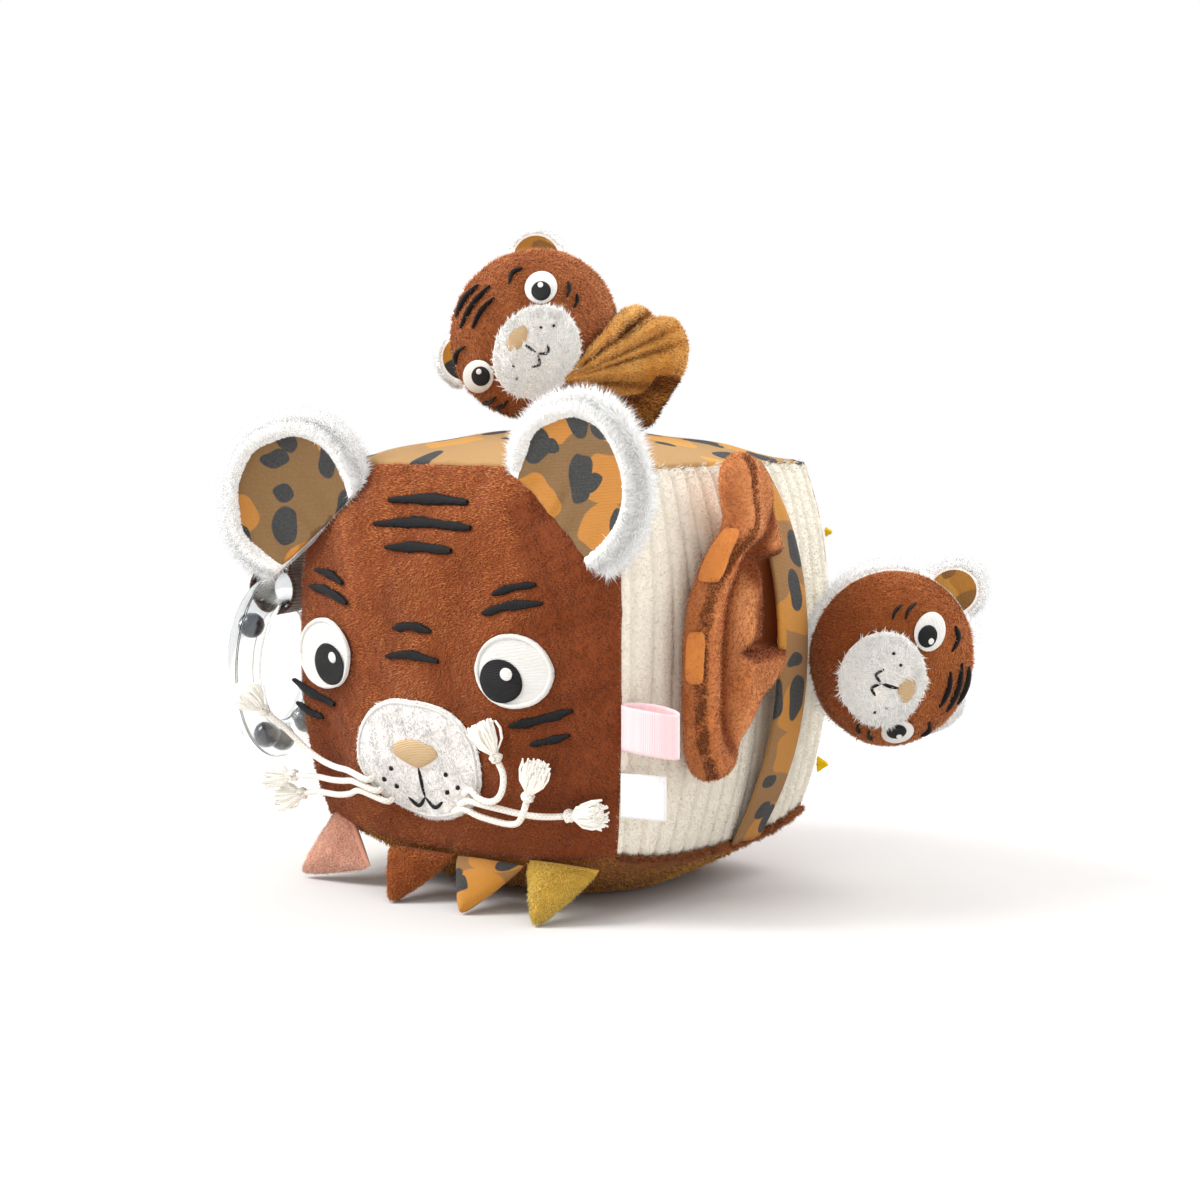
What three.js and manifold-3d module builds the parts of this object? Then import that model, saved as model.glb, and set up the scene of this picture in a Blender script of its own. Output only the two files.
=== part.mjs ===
// A soft fabric activity block with an animal face: six sewn panels round a stuffed core, ears,
// padded spikes, pull cords, ribbon tags, a rattle ring and two small stuffed dolls.
// Millimetres, +Z up. The origin lies on the table under the middle of the block, the face looks
// along -Y and the side with the cloth band along +X.
import * as THREE from 'three';
import { mergeGeometries, mergeVertices } from 'three/addons/utils/BufferGeometryUtils.js';
import Module from 'manifold-3d';

const library = await Module();
library.setup();

// The block, seam to seam, and the crown that the stuffing gives each panel.
const blockWidth = 150;
const blockDepth = 139;
const blockHeight = 150;
const seamLift = 26;
const frontCrown = 22;
const backCrown = 20;
const leftCrown = 20;
const rightCrown = 16;
const topCrown = 13;
const bottomCrown = 32;
const uprightSeamSwell = 8.5;
const levelSeamSwell = 3;
const topSeamRise = 1;
const bottomSeamSag = 7;
const panelThickness = 4;
const clearance = 0.3;

// Wide ribs of the two cream side panels.
const ribPitch = 9.2;
const ribDepth = 2;
const ribSteps = 3;

// The face, sewn on the front panel.
const faceOffset = -9;
const eyeSpread = 48;
const eyeHeight = 72;
const eyeWidth = 33;
const eyeTall = 30;
const pupilSize = 18;
const pupilInset = 4;
const pupilDrop = 4;
const eyeThickness = 1.5;
const pupilThickness = 1;
const muzzleWidth = 66;
const muzzleTall = 50;
const muzzleHeight = 33;
const muzzleThickness = 2;

// Pull cords through the muzzle, each ending in a knot with a tassel.
const cordDiameter = 2.6;
const knotDiameter = 5.6;
const tasselLength = 13;
const tasselDiameter = 9;

// Ears, each a dished fur disc with a lining, sewn across a top corner of the face.
const earDiameter = 78;
const earLiningDiameter = 56;
const earRim = 7;
const earBack = 5;
const earLiningThickness = 2;
const earForward = 12.5;
const earFold = 35;
const rightEar = { x: 65, drop: 7, reach: 15, lean: 50, turn: -6 };
const leftEar = { x: -80, drop: 16, reach: 17, lean: 131, turn: 12 };

// Padded spikes along the front bottom seam.
const spikeWidth = 35;
const spikeThickness = 11;
const spikeTipRadius = 2.5;
const spikeForward = 20;
const spikePitch = 36;
const spikeRowStart = -56;
const pinkSpikeOutward = 26;
const spikeLift = 30;

// Ribbon loop and label in the front right seam, small tabs in the rear right seam.
const ribbonWidth = 17;
const ribbonLength = 29;
const ribbonOpening = 11;
const ribbonThickness = 1;
const ribbonHeight = 53;
const labelWidth = 17;
const labelLength = 19;
const labelThickness = 2.4;
const labelHeight = 26;
const tagTurn = 12;
const cornerTabLength = 8;
const cornerTabWidth = 10;
const cornerTabThickness = 4;
const cornerTabTurn = 19;
const upperTabHeight = 119;
const lowerTabHeight = 18;

// Rattle ring on its strap at the left side.
const ringDiameter = 81;
const ringTube = 15.6;
const ringWall = 1.6;
const beadDiameter = 11;
const ringX = -109;
const ringFromFace = 8.5;
const ringBelowEar = 72;
const ringTurn = 15;
const strapWidth = 18;
const strapThickness = 1.6;
const strapSeamDrop = 10;

// Cloth band over the small doll on the right side.
const bandWidth = 22;
const bandThickness = 1.6;
const bandY = 15;
const bandRise = 11;

// The small doll that the band holds, and the one sewn on top.
const sideHeadTall = 69;
const sideHeadWide = 78;
const sideHeadDeep = 62;
const sideHeadY = 56;
const sideHeadHeight = 70;
const sideHeadNod = 17;
const sideNeckSwing = 10;
const headTurnRoom = 1.3;
const sideBodyTall = 126;
const sideBodyWide = 66;
const sideBodyThickness = 14;
const sideBodyHeight = 29;
const sideNeckRadius = 5;
const upperPawHeight = 116;
const upperPawReach = 20;
const lowerPawHeight = 78;
const lowerPawReach = 11;
const pawPatchLength = 20;
const pawPatchThickness = 1.5;
const topHeadTall = 72;
const topHeadWide = 75;
const topHeadDeep = 66;
const topHeadX = -18;
const topHeadLean = 36;
const topNeckRadius = 6;
const topHeadTurn = 20;
const topBodyStart = -17;
const topBodyLength = 46;
const topBodyTall = 50;
const topBodyThickness = 24;
const topBodyForward = 15;
const hoodPile = 3;
const dollEarDiameter = 25;
const dollEarThickness = 7;
const dollMuzzleWide = 40;
const dollMuzzleTall = 34;
const dollMuzzleThickness = 2.5;
const dollMuzzleDrop = 0.36;
const facing = 36;

const halfWidth = blockWidth / 2;
const halfDepth = blockDepth / 2;
const halfHeight = blockHeight / 2;
const earPlane = halfDepth + earForward;
const ringY = ringFromFace - halfDepth;
const crownPowerShare = 2.6;
const spreadPowerShare = 3;
const rad = THREE.MathUtils.degToRad;
const vec = (x, y, z) => new THREE.Vector3(x, y, z);

const group = new THREE.Group();

function cloth(color, roughness = 0.95) {
  return new THREE.MeshStandardMaterial({ color, roughness, metalness: 0 });
}
const rustPlush = () => cloth(0xa5552d);
const caramelPlush = () => cloth(0xb9782d);
const creamPlush = () => cloth(0xebe4d7);
const whiteFur = () => cloth(0xf4f2ee);
const spottedCloth = () => cloth(0xa57d41, 0.85);
const cordCotton = () => cloth(0xe6dfd0, 0.8);

function add(name, geometry, material) {
  const mesh = new THREE.Mesh(geometry, material);
  mesh.name = name;
  group.add(mesh);
  return mesh;
}

// Geometry helpers.

function bare(geometry) {
  geometry.deleteAttribute('normal');
  geometry.deleteAttribute('uv');
  return mergeVertices(geometry);
}

function signedVolume(geometry) {
  const place = geometry.attributes.position;
  const index = geometry.index.array;
  const [a, b, c] = [vec(), vec(), vec()];
  let volume = 0;
  for (let i = 0; i < index.length; i += 3) {
    a.fromBufferAttribute(place, index[i]);
    b.fromBufferAttribute(place, index[i + 1]);
    c.fromBufferAttribute(place, index[i + 2]);
    volume += a.dot(b.cross(c)) / 6;
  }
  return volume;
}

// Turns a closed mesh so that its faces point out.
function outward(geometry) {
  if (signedVolume(geometry) >= 0) return geometry;
  const index = geometry.index.array;
  for (let i = 0; i < index.length; i += 3) [index[i], index[i + 1]] = [index[i + 1], index[i]];
  return geometry;
}

function fromTriangles(points, index) {
  const geometry = new THREE.BufferGeometry().setFromPoints(points);
  geometry.setIndex(index);
  return geometry;
}

// A closed body through rings of points, each end closed by a fan to a middle point.
function closedRings(rings, first, last) {
  const sides = rings[0].length;
  const points = [first, ...rings.flat(), last];
  const at = (ring, side) => 1 + ring * sides + (side % sides);
  const index = [];
  for (let side = 0; side < sides; side++) {
    index.push(0, at(0, side + 1), at(0, side));
    index.push(points.length - 1, at(rings.length - 1, side), at(rings.length - 1, side + 1));
    for (let ring = 0; ring + 1 < rings.length; ring++) {
      const corners = [at(ring, side), at(ring, side + 1), at(ring + 1, side + 1), at(ring + 1, side)];
      index.push(corners[0], corners[1], corners[2], corners[0], corners[2], corners[3]);
    }
  }
  return outward(fromTriangles(points, index));
}

// A soft form swept through sections, each an oval across two directions.
function loft(sections, sides, powerShare = 2) {
  const rings = sections.map(({ centre, across, up, half, thick }) =>
    Array.from({ length: sides }, (_, i) => {
      const turn = (2 * Math.PI * i) / sides;
      const bend = (t) => Math.sign(t) * Math.abs(t) ** (2 / powerShare);
      return centre.clone()
        .addScaledVector(across, half * bend(Math.cos(turn)))
        .addScaledVector(up, thick * bend(Math.sin(turn)));
    }));
  return closedRings(rings, sections[0].centre.clone(), sections.at(-1).centre.clone());
}

function solidOf(geometry) {
  const merged = geometry.index ? geometry : mergeVertices(geometry);
  return new library.Manifold(new library.Mesh({
    numProp: 3,
    vertProperties: new Float32Array(merged.attributes.position.array),
    triVerts: new Uint32Array(merged.index.array),
  }));
}

function geometryOf(solid) {
  const { vertProperties, triVerts } = solid.getMesh();
  const geometry = new THREE.BufferGeometry();
  geometry.setAttribute('position', new THREE.BufferAttribute(vertProperties, 3));
  geometry.setIndex(new THREE.BufferAttribute(triVerts, 1));
  return geometry;
}

const cut = (base, ...tools) =>
  geometryOf(tools.reduce((solid, tool) => solid.subtract(solidOf(tool)), solidOf(base)));
const join = (base, ...others) =>
  geometryOf(others.reduce((solid, other) => solid.add(solidOf(other)), solidOf(base)));
const common = (base, other) => geometryOf(solidOf(base).intersect(solidOf(other)));

// A body turned from a closed profile of [radius, height] points, standing on +Z.
function turned(profile, segments) {
  const lathe = new THREE.LatheGeometry(profile.map(([r, h]) => new THREE.Vector2(r, h)), segments);
  return outward(bare(lathe).rotateX(Math.PI / 2));
}

// Stands a geometry's +Z along a direction, with its +Y as near as can be to up.
function aim(geometry, origin, direction, up = vec(0, 0, 1)) {
  const z = direction.clone().normalize();
  const x = up.clone().cross(z).normalize();
  const y = z.clone().cross(x);
  return geometry.applyMatrix4(new THREE.Matrix4().makeBasis(x, y, z).setPosition(origin));
}

function box(low, high) {
  const size = high.clone().sub(low);
  const middle = high.clone().add(low).multiplyScalar(0.5);
  return bare(new THREE.BoxGeometry(size.x, size.y, size.z)).translate(middle.x, middle.y, middle.z);
}

// The stuffed block: every panel, patch and cut follows this one surface.

const crownFade = (t) => 1 - Math.abs(t) ** crownPowerShare;
const spread = (t) => Math.sign(t) * Math.abs(t) ** spreadPowerShare;

// The point of the block at shares a, b, c of its half sizes, an inset below the cloth.
function blockPoint(a, b, c, inset = 0) {
  const [u, v, w] = [a * (1 - inset / halfWidth), b * (1 - inset / halfDepth), c * (1 - inset / halfHeight)];
  const [fu, fv, fw] = [crownFade(u), crownFade(v), crownFade(w)];
  const sideCrown = u > 0 ? rightCrown : leftCrown;
  const faceCrown = v > 0 ? backCrown : frontCrown;
  const levelCrown = w > 0 ? topCrown : bottomCrown;
  const levelBow = w > 0 ? topSeamRise : bottomSeamSag;
  const swell = (crown, along) =>
    crown * along * fw + uprightSeamSwell * (1 - along) * fw + levelSeamSwell * along * (1 - fw);
  const rise = levelCrown * fu * fv + levelBow * ((1 - fu) * fv + fu * (1 - fv));
  const x = halfWidth * u + spread(u) * swell(sideCrown, fv);
  const y = halfDepth * v + spread(v) * swell(faceCrown, fu);
  const z = seamLift + halfHeight * (1 + w) + spread(w) * rise;
  return vec(x, y, Math.max(z, inset));
}

const faces = {
  front: (u, v) => [u, -1, v],
  back: (u, v) => [-u, 1, v],
  left: (u, v) => [-1, -u, v],
  right: (u, v) => [1, u, v],
  top: (u, v) => [u, v, 1],
  bottom: (u, v) => [u, -v, -1],
};
const spacing = (count, end) => Array.from({ length: count + 1 }, (_, i) => end * ((2 * i) / count - 1));

// The block's surface as one closed body: the core at an inset, a cutting body at a negative one.
function blockBody(inset, count) {
  const parts = Object.values(faces).map((face) => {
    const points = [];
    const index = [];
    for (const v of spacing(count, 1)) {
      for (const u of spacing(count, 1)) points.push(blockPoint(...face(u, v), inset));
    }
    for (let row = 0; row < count; row++) {
      for (let column = 0; column < count; column++) {
        const corner = row * (count + 1) + column;
        const above = corner + count + 1;
        index.push(corner, corner + 1, above + 1, corner, above + 1, above);
      }
    }
    return fromTriangles(points, index);
  });
  return outward(mergeVertices(mergeGeometries(parts)));
}

// One sewn panel over a face: a sheet that stops just short of its seams. Ribs, if it has any, run
// up the panel with a groove every few columns of its grid.
function panel(face, columns, rows, relief = 0) {
  const [end, inner] = [1 - clearance / halfDepth, panelThickness];
  const [us, vs] = [spacing(columns, end), spacing(rows, end)];
  const outer = vs.map((v) => us.map((u, i) => blockPoint(...face(u, v), i % ribSteps === 0 ? relief : 0)));
  const under = vs.map((v) => us.map((u) => blockPoint(...face(u, v), inner)));
  const points = [...outer.flat(), ...under.flat()];
  const width = us.length;
  const layer = width * vs.length;
  const index = [];
  const quad = (a, b, c, d) => index.push(a, b, c, a, c, d);
  for (let row = 0; row < rows; row++) {
    for (let column = 0; column < columns; column++) {
      const a = row * width + column;
      quad(a, a + 1, a + width + 1, a + width);
      quad(layer + a, layer + a + width, layer + a + width + 1, layer + a + 1);
    }
  }
  for (let column = 0; column < columns; column++) {
    const top = rows * width + column;
    quad(column, layer + column, layer + column + 1, column + 1);
    quad(top + 1, layer + top + 1, layer + top, top);
  }
  for (let row = 0; row < rows; row++) {
    const left = row * width;
    const right = left + columns;
    quad(left + width, layer + left + width, layer + left, left);
    quad(right, layer + right, layer + right + width, right + width);
  }
  return outward(fromTriangles(points, index));
}

const divisions = 8;
const ribColumns = ribSteps * Math.round(blockDepth / ribPitch);
const coreInset = panelThickness + clearance;
const cutter = blockBody(-clearance, divisions * 3);

// The cutting body as a hinged piece meets it half way and all the way through its turn.
function cuttersInTurn(pivot, axis, degrees) {
  return [0.5, 1].map((share) => {
    const turn = new THREE.Matrix4().makeRotationAxis(axis, -rad(share * degrees));
    return cutter.clone().translate(-pivot.x, -pivot.y, -pivot.z).applyMatrix4(turn)
      .translate(pivot.x, pivot.y, pivot.z);
  });
}

add('filling_core', blockBody(coreInset, divisions), cloth(0xf2f0ea));
add('front_panel', panel(faces.front, divisions, divisions), rustPlush());
add('back_panel', panel(faces.back, divisions, divisions), rustPlush());
add('left_panel', panel(faces.left, ribColumns, divisions, ribDepth), creamPlush());
add('right_panel', panel(faces.right, ribColumns, divisions, ribDepth), creamPlush());
add('top_panel', panel(faces.top, divisions, divisions), spottedCloth());
add('bottom_panel', panel(faces.bottom, divisions, divisions), caramelPlush());

// A place on the front panel, by its distance from the middle and its height above the bottom
// seam, standing off the cloth along its normal.
function onFront(x, height, standOff) {
  const place = (p, q) => blockPoint(p / halfWidth, -1, q / halfHeight - 1);
  const nudge = clearance;
  const here = place(x, height);
  const along = place(x + nudge, height).sub(place(x - nudge, height));
  const rising = place(x, height + nudge).sub(place(x, height - nudge));
  return here.addScaledVector(along.cross(rising).normalize(), standOff);
}

// A flat patch on a surface: an oval of cloth with a softly rounded edge.
function patch(surface, wide, tall, floor, thickness, sides) {
  const ring = (share, level) => Array.from({ length: sides }, (_, i) => {
    const turn = (2 * Math.PI * i) / sides;
    return surface((share * wide * Math.cos(turn)) / 2, (share * tall * Math.sin(turn)) / 2, level);
  });
  const roundShares = [[0.45, 1], [0.86, 0.92], [1, 0.45], [1, 0], [0.5, 0]];
  const rings = roundShares.map(([share, level]) => ring(share, floor + thickness * level));
  return closedRings(rings, surface(0, 0, floor + thickness), surface(0, 0, floor));
}

const onFace = (x, height) => (u, v, standOff) => onFront(x + u, height + v, standOff);
for (const [name, side] of [['left', -1], ['right', 1]]) {
  const eyeX = faceOffset + side * eyeSpread;
  const pupilX = eyeX - side * pupilInset;
  add(`${name}_eye`, patch(onFace(eyeX, eyeHeight), eyeWidth, eyeTall, clearance, eyeThickness, 18),
    cloth(0xf7f5ef));
  add(`${name}_pupil`, patch(onFace(pupilX, eyeHeight - pupilDrop), pupilSize, pupilSize,
    eyeThickness + 2 * clearance, pupilThickness, 14), cloth(0x1d1b1e, 0.6));
}
const onMuzzle = onFace(faceOffset, muzzleHeight);
add('muzzle', patch(onMuzzle, muzzleWidth, muzzleTall, clearance, muzzleThickness, 24), whiteFur());
const muzzleCutter = patch(onMuzzle, muzzleWidth + 2 * clearance, muzzleTall + 2 * clearance, 0,
  muzzleThickness + 2 * clearance, 24);

// Cords: a tube out of the muzzle and along a route of hand-set points, and a knot with its tassel
// at the far end.

function cord([uShare, vShare], points) {
  const exit = [muzzleThickness / 2, muzzleThickness + cordDiameter].map((standOff) =>
    onMuzzle((uShare * muzzleWidth) / 2, (vShare * muzzleTall) / 2, standOff));
  const route = new THREE.CatmullRomCurve3([...exit, ...points.map(([x, y, z]) => vec(x, y, z))]);
  const section = new THREE.Shape(Array.from({ length: 8 }, (_, i) => {
    const turn = (Math.PI * i) / 4;
    return new THREE.Vector2(Math.cos(turn), Math.sin(turn)).multiplyScalar(cordDiameter / 2);
  }));
  const steps = Math.max(4, Math.round(route.getLength() / (2.5 * cordDiameter)));
  const settings = { steps, extrudePath: route, bevelEnabled: false };
  const tube = new THREE.ExtrudeGeometry(section, settings);
  const geometry = cut(outward(bare(tube)), muzzleCutter);
  return { geometry, end: route.getPoint(1), heading: route.getTangent(1) };
}

function tassel(end, heading) {
  const neck = knotDiameter * 0.75;
  const profile = [
    [0, 0], [knotDiameter * 0.36, knotDiameter * 0.1], [knotDiameter / 2, knotDiameter * 0.42],
    [knotDiameter * 0.3, neck], [tasselDiameter * 0.36, neck + tasselLength * 0.3],
    [tasselDiameter / 2, neck + tasselLength * 0.9], [tasselDiameter * 0.3, neck + tasselLength],
    [0, neck + tasselLength],
  ];
  const foot = end.clone().addScaledVector(heading, clearance);
  return aim(turned(profile, 10), foot, heading, Math.abs(heading.z) > 0.9 ? vec(0, 1, 0) : vec(0, 0, 1));
}

const exitShares = {
  right_upper: [0.74, -0.34], right_middle: [0.64, -0.5], right_lower: [0.52, -0.62],
  left_upper: [-0.76, -0.3], left_middle: [-0.68, -0.46], left_lower: [-0.57, -0.6],
};
const cordRoutes = {
  right_upper: [[20.6, -91.6, 50], [24.5, -91.6, 47.3], [29.5, -91.2, 46.2], [34.5, -91.8, 48.2],
    [37.6, -92.6, 52.8], [38.2, -93.2, 58.5], [36.6, -94, 62.6]],
  right_middle: [[18.2, -89.8, 45.2], [24, -89.5, 44.4], [32, -88.4, 43.4], [40, -87, 42.3],
    [48, -85.8, 41.8], [55, -84.8, 42.2], [61, -84.4, 43]],
  right_lower: [[15, -88.6, 41.4], [20.5, -87.6, 39.4], [27.5, -86.6, 38], [35, -86.4, 37.4],
    [41, -88, 38.6], [45.5, -90.4, 42.6], [48.3, -91.4, 48.3]],
  left_upper: [[-46.6, -89.2, 51], [-53, -88.4, 51.4], [-62, -87, 53], [-71, -86, 56.4],
    [-78.6, -86.6, 61.6], [-83.8, -89.4, 67], [-86.4, -94, 71.6]],
  left_middle: [[-44.4, -88.4, 46.6], [-51, -87, 45.8], [-59, -85.2, 45.2], [-67, -83.4, 45.2],
    [-74, -82.8, 45], [-80, -83.2, 44.6]],
  left_lower: [[-41.8, -87.4, 42.8], [-48, -85.6, 40.6], [-56, -83.6, 39], [-64, -82, 38.6],
    [-71.5, -80.6, 38.4], [-78.5, -80, 36.8]],
};
for (const [name, points] of Object.entries(cordRoutes)) {
  const { geometry, end, heading } = cord(exitShares[name], points);
  add(`whisker_${name}`, geometry, cordCotton());
  add(`tassel_${name}`, tassel(end, heading), cordCotton());
}

// Ears. Each disc is turned about its own axis, then cut along its base and clear of the block.

function ear(name, { x, drop, reach, lean, turn }) {
  const axis = vec(Math.sin(rad(turn)), -Math.cos(rad(turn)), 0);
  const centre = vec(x, -earPlane, seamLift + blockHeight - drop);
  const radius = earDiameter / 2;
  const liningRadius = earLiningDiameter / 2;
  const disc = turned([
    [0, -earBack], [radius * 0.6, -earBack * 0.85], [radius * 0.92, -earBack * 0.4],
    [radius, earRim * 0.25], [radius * 0.94, earRim * 0.85], [radius * 0.85, earRim],
    [liningRadius, earRim * 0.5], [liningRadius, 0], [0, 0],
  ], 28);
  const bed = clearance;
  const lining = turned([
    [0, bed], [liningRadius - clearance, bed], [liningRadius - clearance, bed + earLiningThickness],
    [liningRadius * 0.6, bed + earLiningThickness * 0.7], [0, bed + earLiningThickness * 0.6],
  ], 24);
  const waste = box(vec(-earDiameter, -earDiameter, -earDiameter), vec(earDiameter, -reach, earDiameter));
  waste.rotateZ(rad(lean - 90));

  // The base line, about which the ear folds forward.
  const across = vec(0, 0, 1).cross(axis).normalize();
  const outwards = across.multiplyScalar(Math.cos(rad(lean))).add(vec(0, 0, Math.sin(rad(lean))));
  const foot = centre.clone().addScaledVector(outwards, -reach).addScaledVector(axis, -earBack * 0.6);
  const turns = cuttersInTurn(foot, outwards.clone().cross(axis), earFold);
  const place = (geometry) => cut(aim(cut(geometry, waste), centre, axis), cutter, ...turns);
  add(`${name}_ear_back`, place(disc), whiteFur());
  add(`${name}_ear_lining`, place(lining), spottedCloth());
}
ear('right', rightEar);
ear('left', leftEar);

// Padded spikes: each swells from the seam and tapers to a tip just over the table.

function spike(base, tip, wide, thickness, tipRadius) {
  const run = tip.clone().sub(base);
  const across = vec(1, 0, 0).addScaledVector(run, -run.x / run.lengthSq()).normalize();
  const up = across.clone().cross(run).normalize();
  // Shares: how far along the spike, its half width and its thickness.
  const taperShares = [[0, 1, 0.14], [0.1, 0.97, 0.5], [0.27, 0.84, 0.88], [0.48, 0.64, 1],
    [0.7, 0.41, 0.84], [0.89, 0.19, 0.56], [1, 0.04, 0.2]];
  return loft(taperShares.map(([along, half, thick]) => ({
    centre: base.clone().addScaledVector(run, along),
    across,
    up,
    half: Math.max((half * wide) / 2, tipRadius * (1.2 - along)),
    thick: (thick * thickness) / 2,
  })), 12, 2.4);
}
const spikeLooks = [['pink_spike', cloth(0xe1a58c)], ['rust_spike', rustPlush()],
  ['spotted_spike', spottedCloth()], ['mustard_spike', cloth(0xcdb446)]];
spikeLooks.forEach(([name, finish], i) => {
  const x = spikeRowStart + i * spikePitch;
  const seam = blockPoint(x / halfWidth, -1, -1);
  const outermost = i === 0;
  const tip = vec(x, seam.y - spikeForward, spikeThickness * 0.1 + clearance);
  if (outermost) tip.set(x - pinkSpikeOutward, seam.y - spikeForward / 3, spikeTipRadius + clearance);
  const base = seam.clone().addScaledVector(tip.clone().sub(seam).normalize(), clearance);
  const body = spike(base, tip, spikeWidth, spikeThickness, spikeTipRadius);
  add(name, cut(body, cutter, ...cuttersInTurn(seam, vec(-1, 0, 0), spikeLift)), finish);
});

// Tags in the upright seams.

function seamPlace(side, height) {
  return blockPoint(1, side, height / halfHeight - 1);
}

// A folded ribbon, both ends in the seam, opened a little by its own stiffness.
function ribbonLoop(opening, length, thickness, wide) {
  const outline = (grow) => new THREE.Shape(new THREE.EllipseCurve(
    length / 2, 0, length / 2 + grow, opening / 2 + grow, 0, 2 * Math.PI).getPoints(20).slice(1));
  const rim = outline(0);
  rim.holes.push(outline(-thickness));
  return bare(new THREE.ExtrudeGeometry(rim, { depth: wide, bevelEnabled: false, curveSegments: 1 }));
}
const loopFoot = seamPlace(-1, ribbonHeight).add(vec(clearance, -clearance, 0));
const loop = outward(ribbonLoop(ribbonOpening, ribbonLength, ribbonThickness, ribbonWidth));
loop.rotateZ(rad(tagTurn)).translate(loopFoot.x, loopFoot.y, loopFoot.z - ribbonWidth / 2);
add('ribbon_loop', cut(loop, cutter), cloth(0xf2b6b6, 0.45));

const labelFoot = seamPlace(-1, labelHeight).add(vec(clearance, -clearance, 0));
const labelOutline = new THREE.Shape([
  [0, 0], [labelThickness, -labelThickness / 2], [labelLength, -labelThickness / 2],
  [labelLength, labelThickness / 2], [labelThickness, labelThickness / 2],
].map(([x, y]) => new THREE.Vector2(x, y)));
const labelSlab = new THREE.ExtrudeGeometry(labelOutline, { depth: labelWidth, bevelEnabled: false });
const label = outward(bare(labelSlab)).translate(0, 0, -labelWidth / 2).rotateZ(rad(tagTurn));
label.translate(labelFoot.x, labelFoot.y, labelFoot.z);
add('blank_label', cut(label, cutter), cloth(0xf6f6f4, 0.6));

for (const [name, height] of [['upper_corner_tab', upperTabHeight], ['lower_corner_tab', lowerTabHeight]]) {
  const foot = seamPlace(1, height);
  const out = vec(1, 0, 0).applyAxisAngle(vec(0, 0, 1), rad(cornerTabTurn));
  const tabShares = [[0, 1, 1], [0.5, 0.6, 0.9], [1, 0.12, 0.5]];
  add(name, cut(loft(tabShares.map(([along, half, thick]) => ({
    centre: foot.clone().addScaledVector(out, along * cornerTabLength),
    across: vec(0, 0, 1),
    up: vec(-out.y, out.x, 0),
    half: (half * cornerTabWidth) / 2,
    thick: (thick * cornerTabThickness) / 2,
  })), 8, 3), cutter), cloth(0xf5d21e));
}

// Rattle ring: two clear half shells face to face, loose beads inside, hung in a strap.

const tubeRadius = ringTube / 2;
const ringRadius = ringDiameter / 2 - tubeRadius;
const ringAxis = vec(Math.cos(rad(ringTurn)), Math.sin(rad(ringTurn)), 0);
const ringCentre = vec(ringX, ringY, seamLift + blockHeight - leftEar.drop - ringBelowEar);
const clearPlastic = () => new THREE.MeshStandardMaterial({
  color: 0xeef2f4, roughness: 0.08, metalness: 0, transparent: true, opacity: 0.35,
});

function ringHalf() {
  const arc = (radius, from, to, count) => Array.from({ length: count + 1 }, (_, i) => {
    const lift = clearance / 2;
    const turn = from + ((to - from) * i) / count;
    return [ringRadius + radius * Math.cos(turn), lift + radius * Math.sin(turn)];
  });
  const profile = [...arc(tubeRadius, 0, Math.PI, 8), ...arc(tubeRadius - ringWall, Math.PI, 0, 6)];
  return turned([...profile, profile[0]], 32);
}
add('ring_outer_shell', aim(ringHalf(), ringCentre, ringAxis.clone().negate()), clearPlastic());
add('ring_inner_shell', aim(ringHalf(), ringCentre, ringAxis), clearPlastic());

// Bead places, in degrees round from the bottom of the ring. The last one balances the others.
const looseBeadTurns = [5, 125, -32, -59];
const imbalance = looseBeadTurns.reduce((sum, turn) => sum + Math.sin(rad(turn)), 0);
const beadTurns = [...looseBeadTurns.map(rad), Math.asin(-imbalance)];
const ringSide = vec(-ringAxis.y, ringAxis.x, 0);
beadTurns.forEach((turn, i) => {
  const place = ringCentre.clone()
    .addScaledVector(ringSide, -ringRadius * Math.sin(turn))
    .addScaledVector(vec(0, 0, 1), -ringRadius * Math.cos(turn));
  const bead = bare(new THREE.IcosahedronGeometry(beadDiameter / 2, 1));
  add(`bead_${i + 1}`, bead.translate(place.x, place.y, place.z), cloth(0x2d3540, 0.4));
});

// The strap loops round the tube at the top of the ring and runs up into the side seam.
function strap() {
  const eye = ringCentre.clone().add(vec(0, 0, ringRadius));
  const seam = blockPoint(-1, ringY / halfDepth, 1).sub(vec(0, 0, strapSeamDrop));
  const run = seam.clone().sub(eye);
  const length = Math.hypot(run.x, run.z) + panelThickness;
  const tubeBow = strapWidth ** 2 / 8 / (ringRadius - tubeRadius);
  const inner = tubeRadius + tubeBow + clearance;
  const outer = inner + strapThickness;
  const spring = Math.asin(strapThickness / outer);
  const outline = new THREE.Shape();
  outline.moveTo(length, strapThickness);
  outline.lineTo(outer * Math.cos(spring), strapThickness);
  outline.absarc(0, 0, outer, spring, 2 * Math.PI - spring, false);
  outline.lineTo(length, -strapThickness);
  outline.closePath();
  outline.holes.push(new THREE.Path().absarc(0, 0, inner, 0, 2 * Math.PI, true));
  const settings = { depth: strapWidth, bevelEnabled: false, curveSegments: 20 };
  const webbing = outward(bare(new THREE.ExtrudeGeometry(outline, settings)));
  const slope = Math.atan2(run.z, run.x);
  const band = webbing.translate(0, 0, -strapWidth / 2).rotateZ(slope).rotateX(Math.PI / 2);
  band.rotateZ(rad(ringTurn)).translate(eye.x, eye.y, eye.z);
  return cut(band, cutter);
}
add('ring_strap', strap(), cloth(0x4a2a1c));

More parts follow.
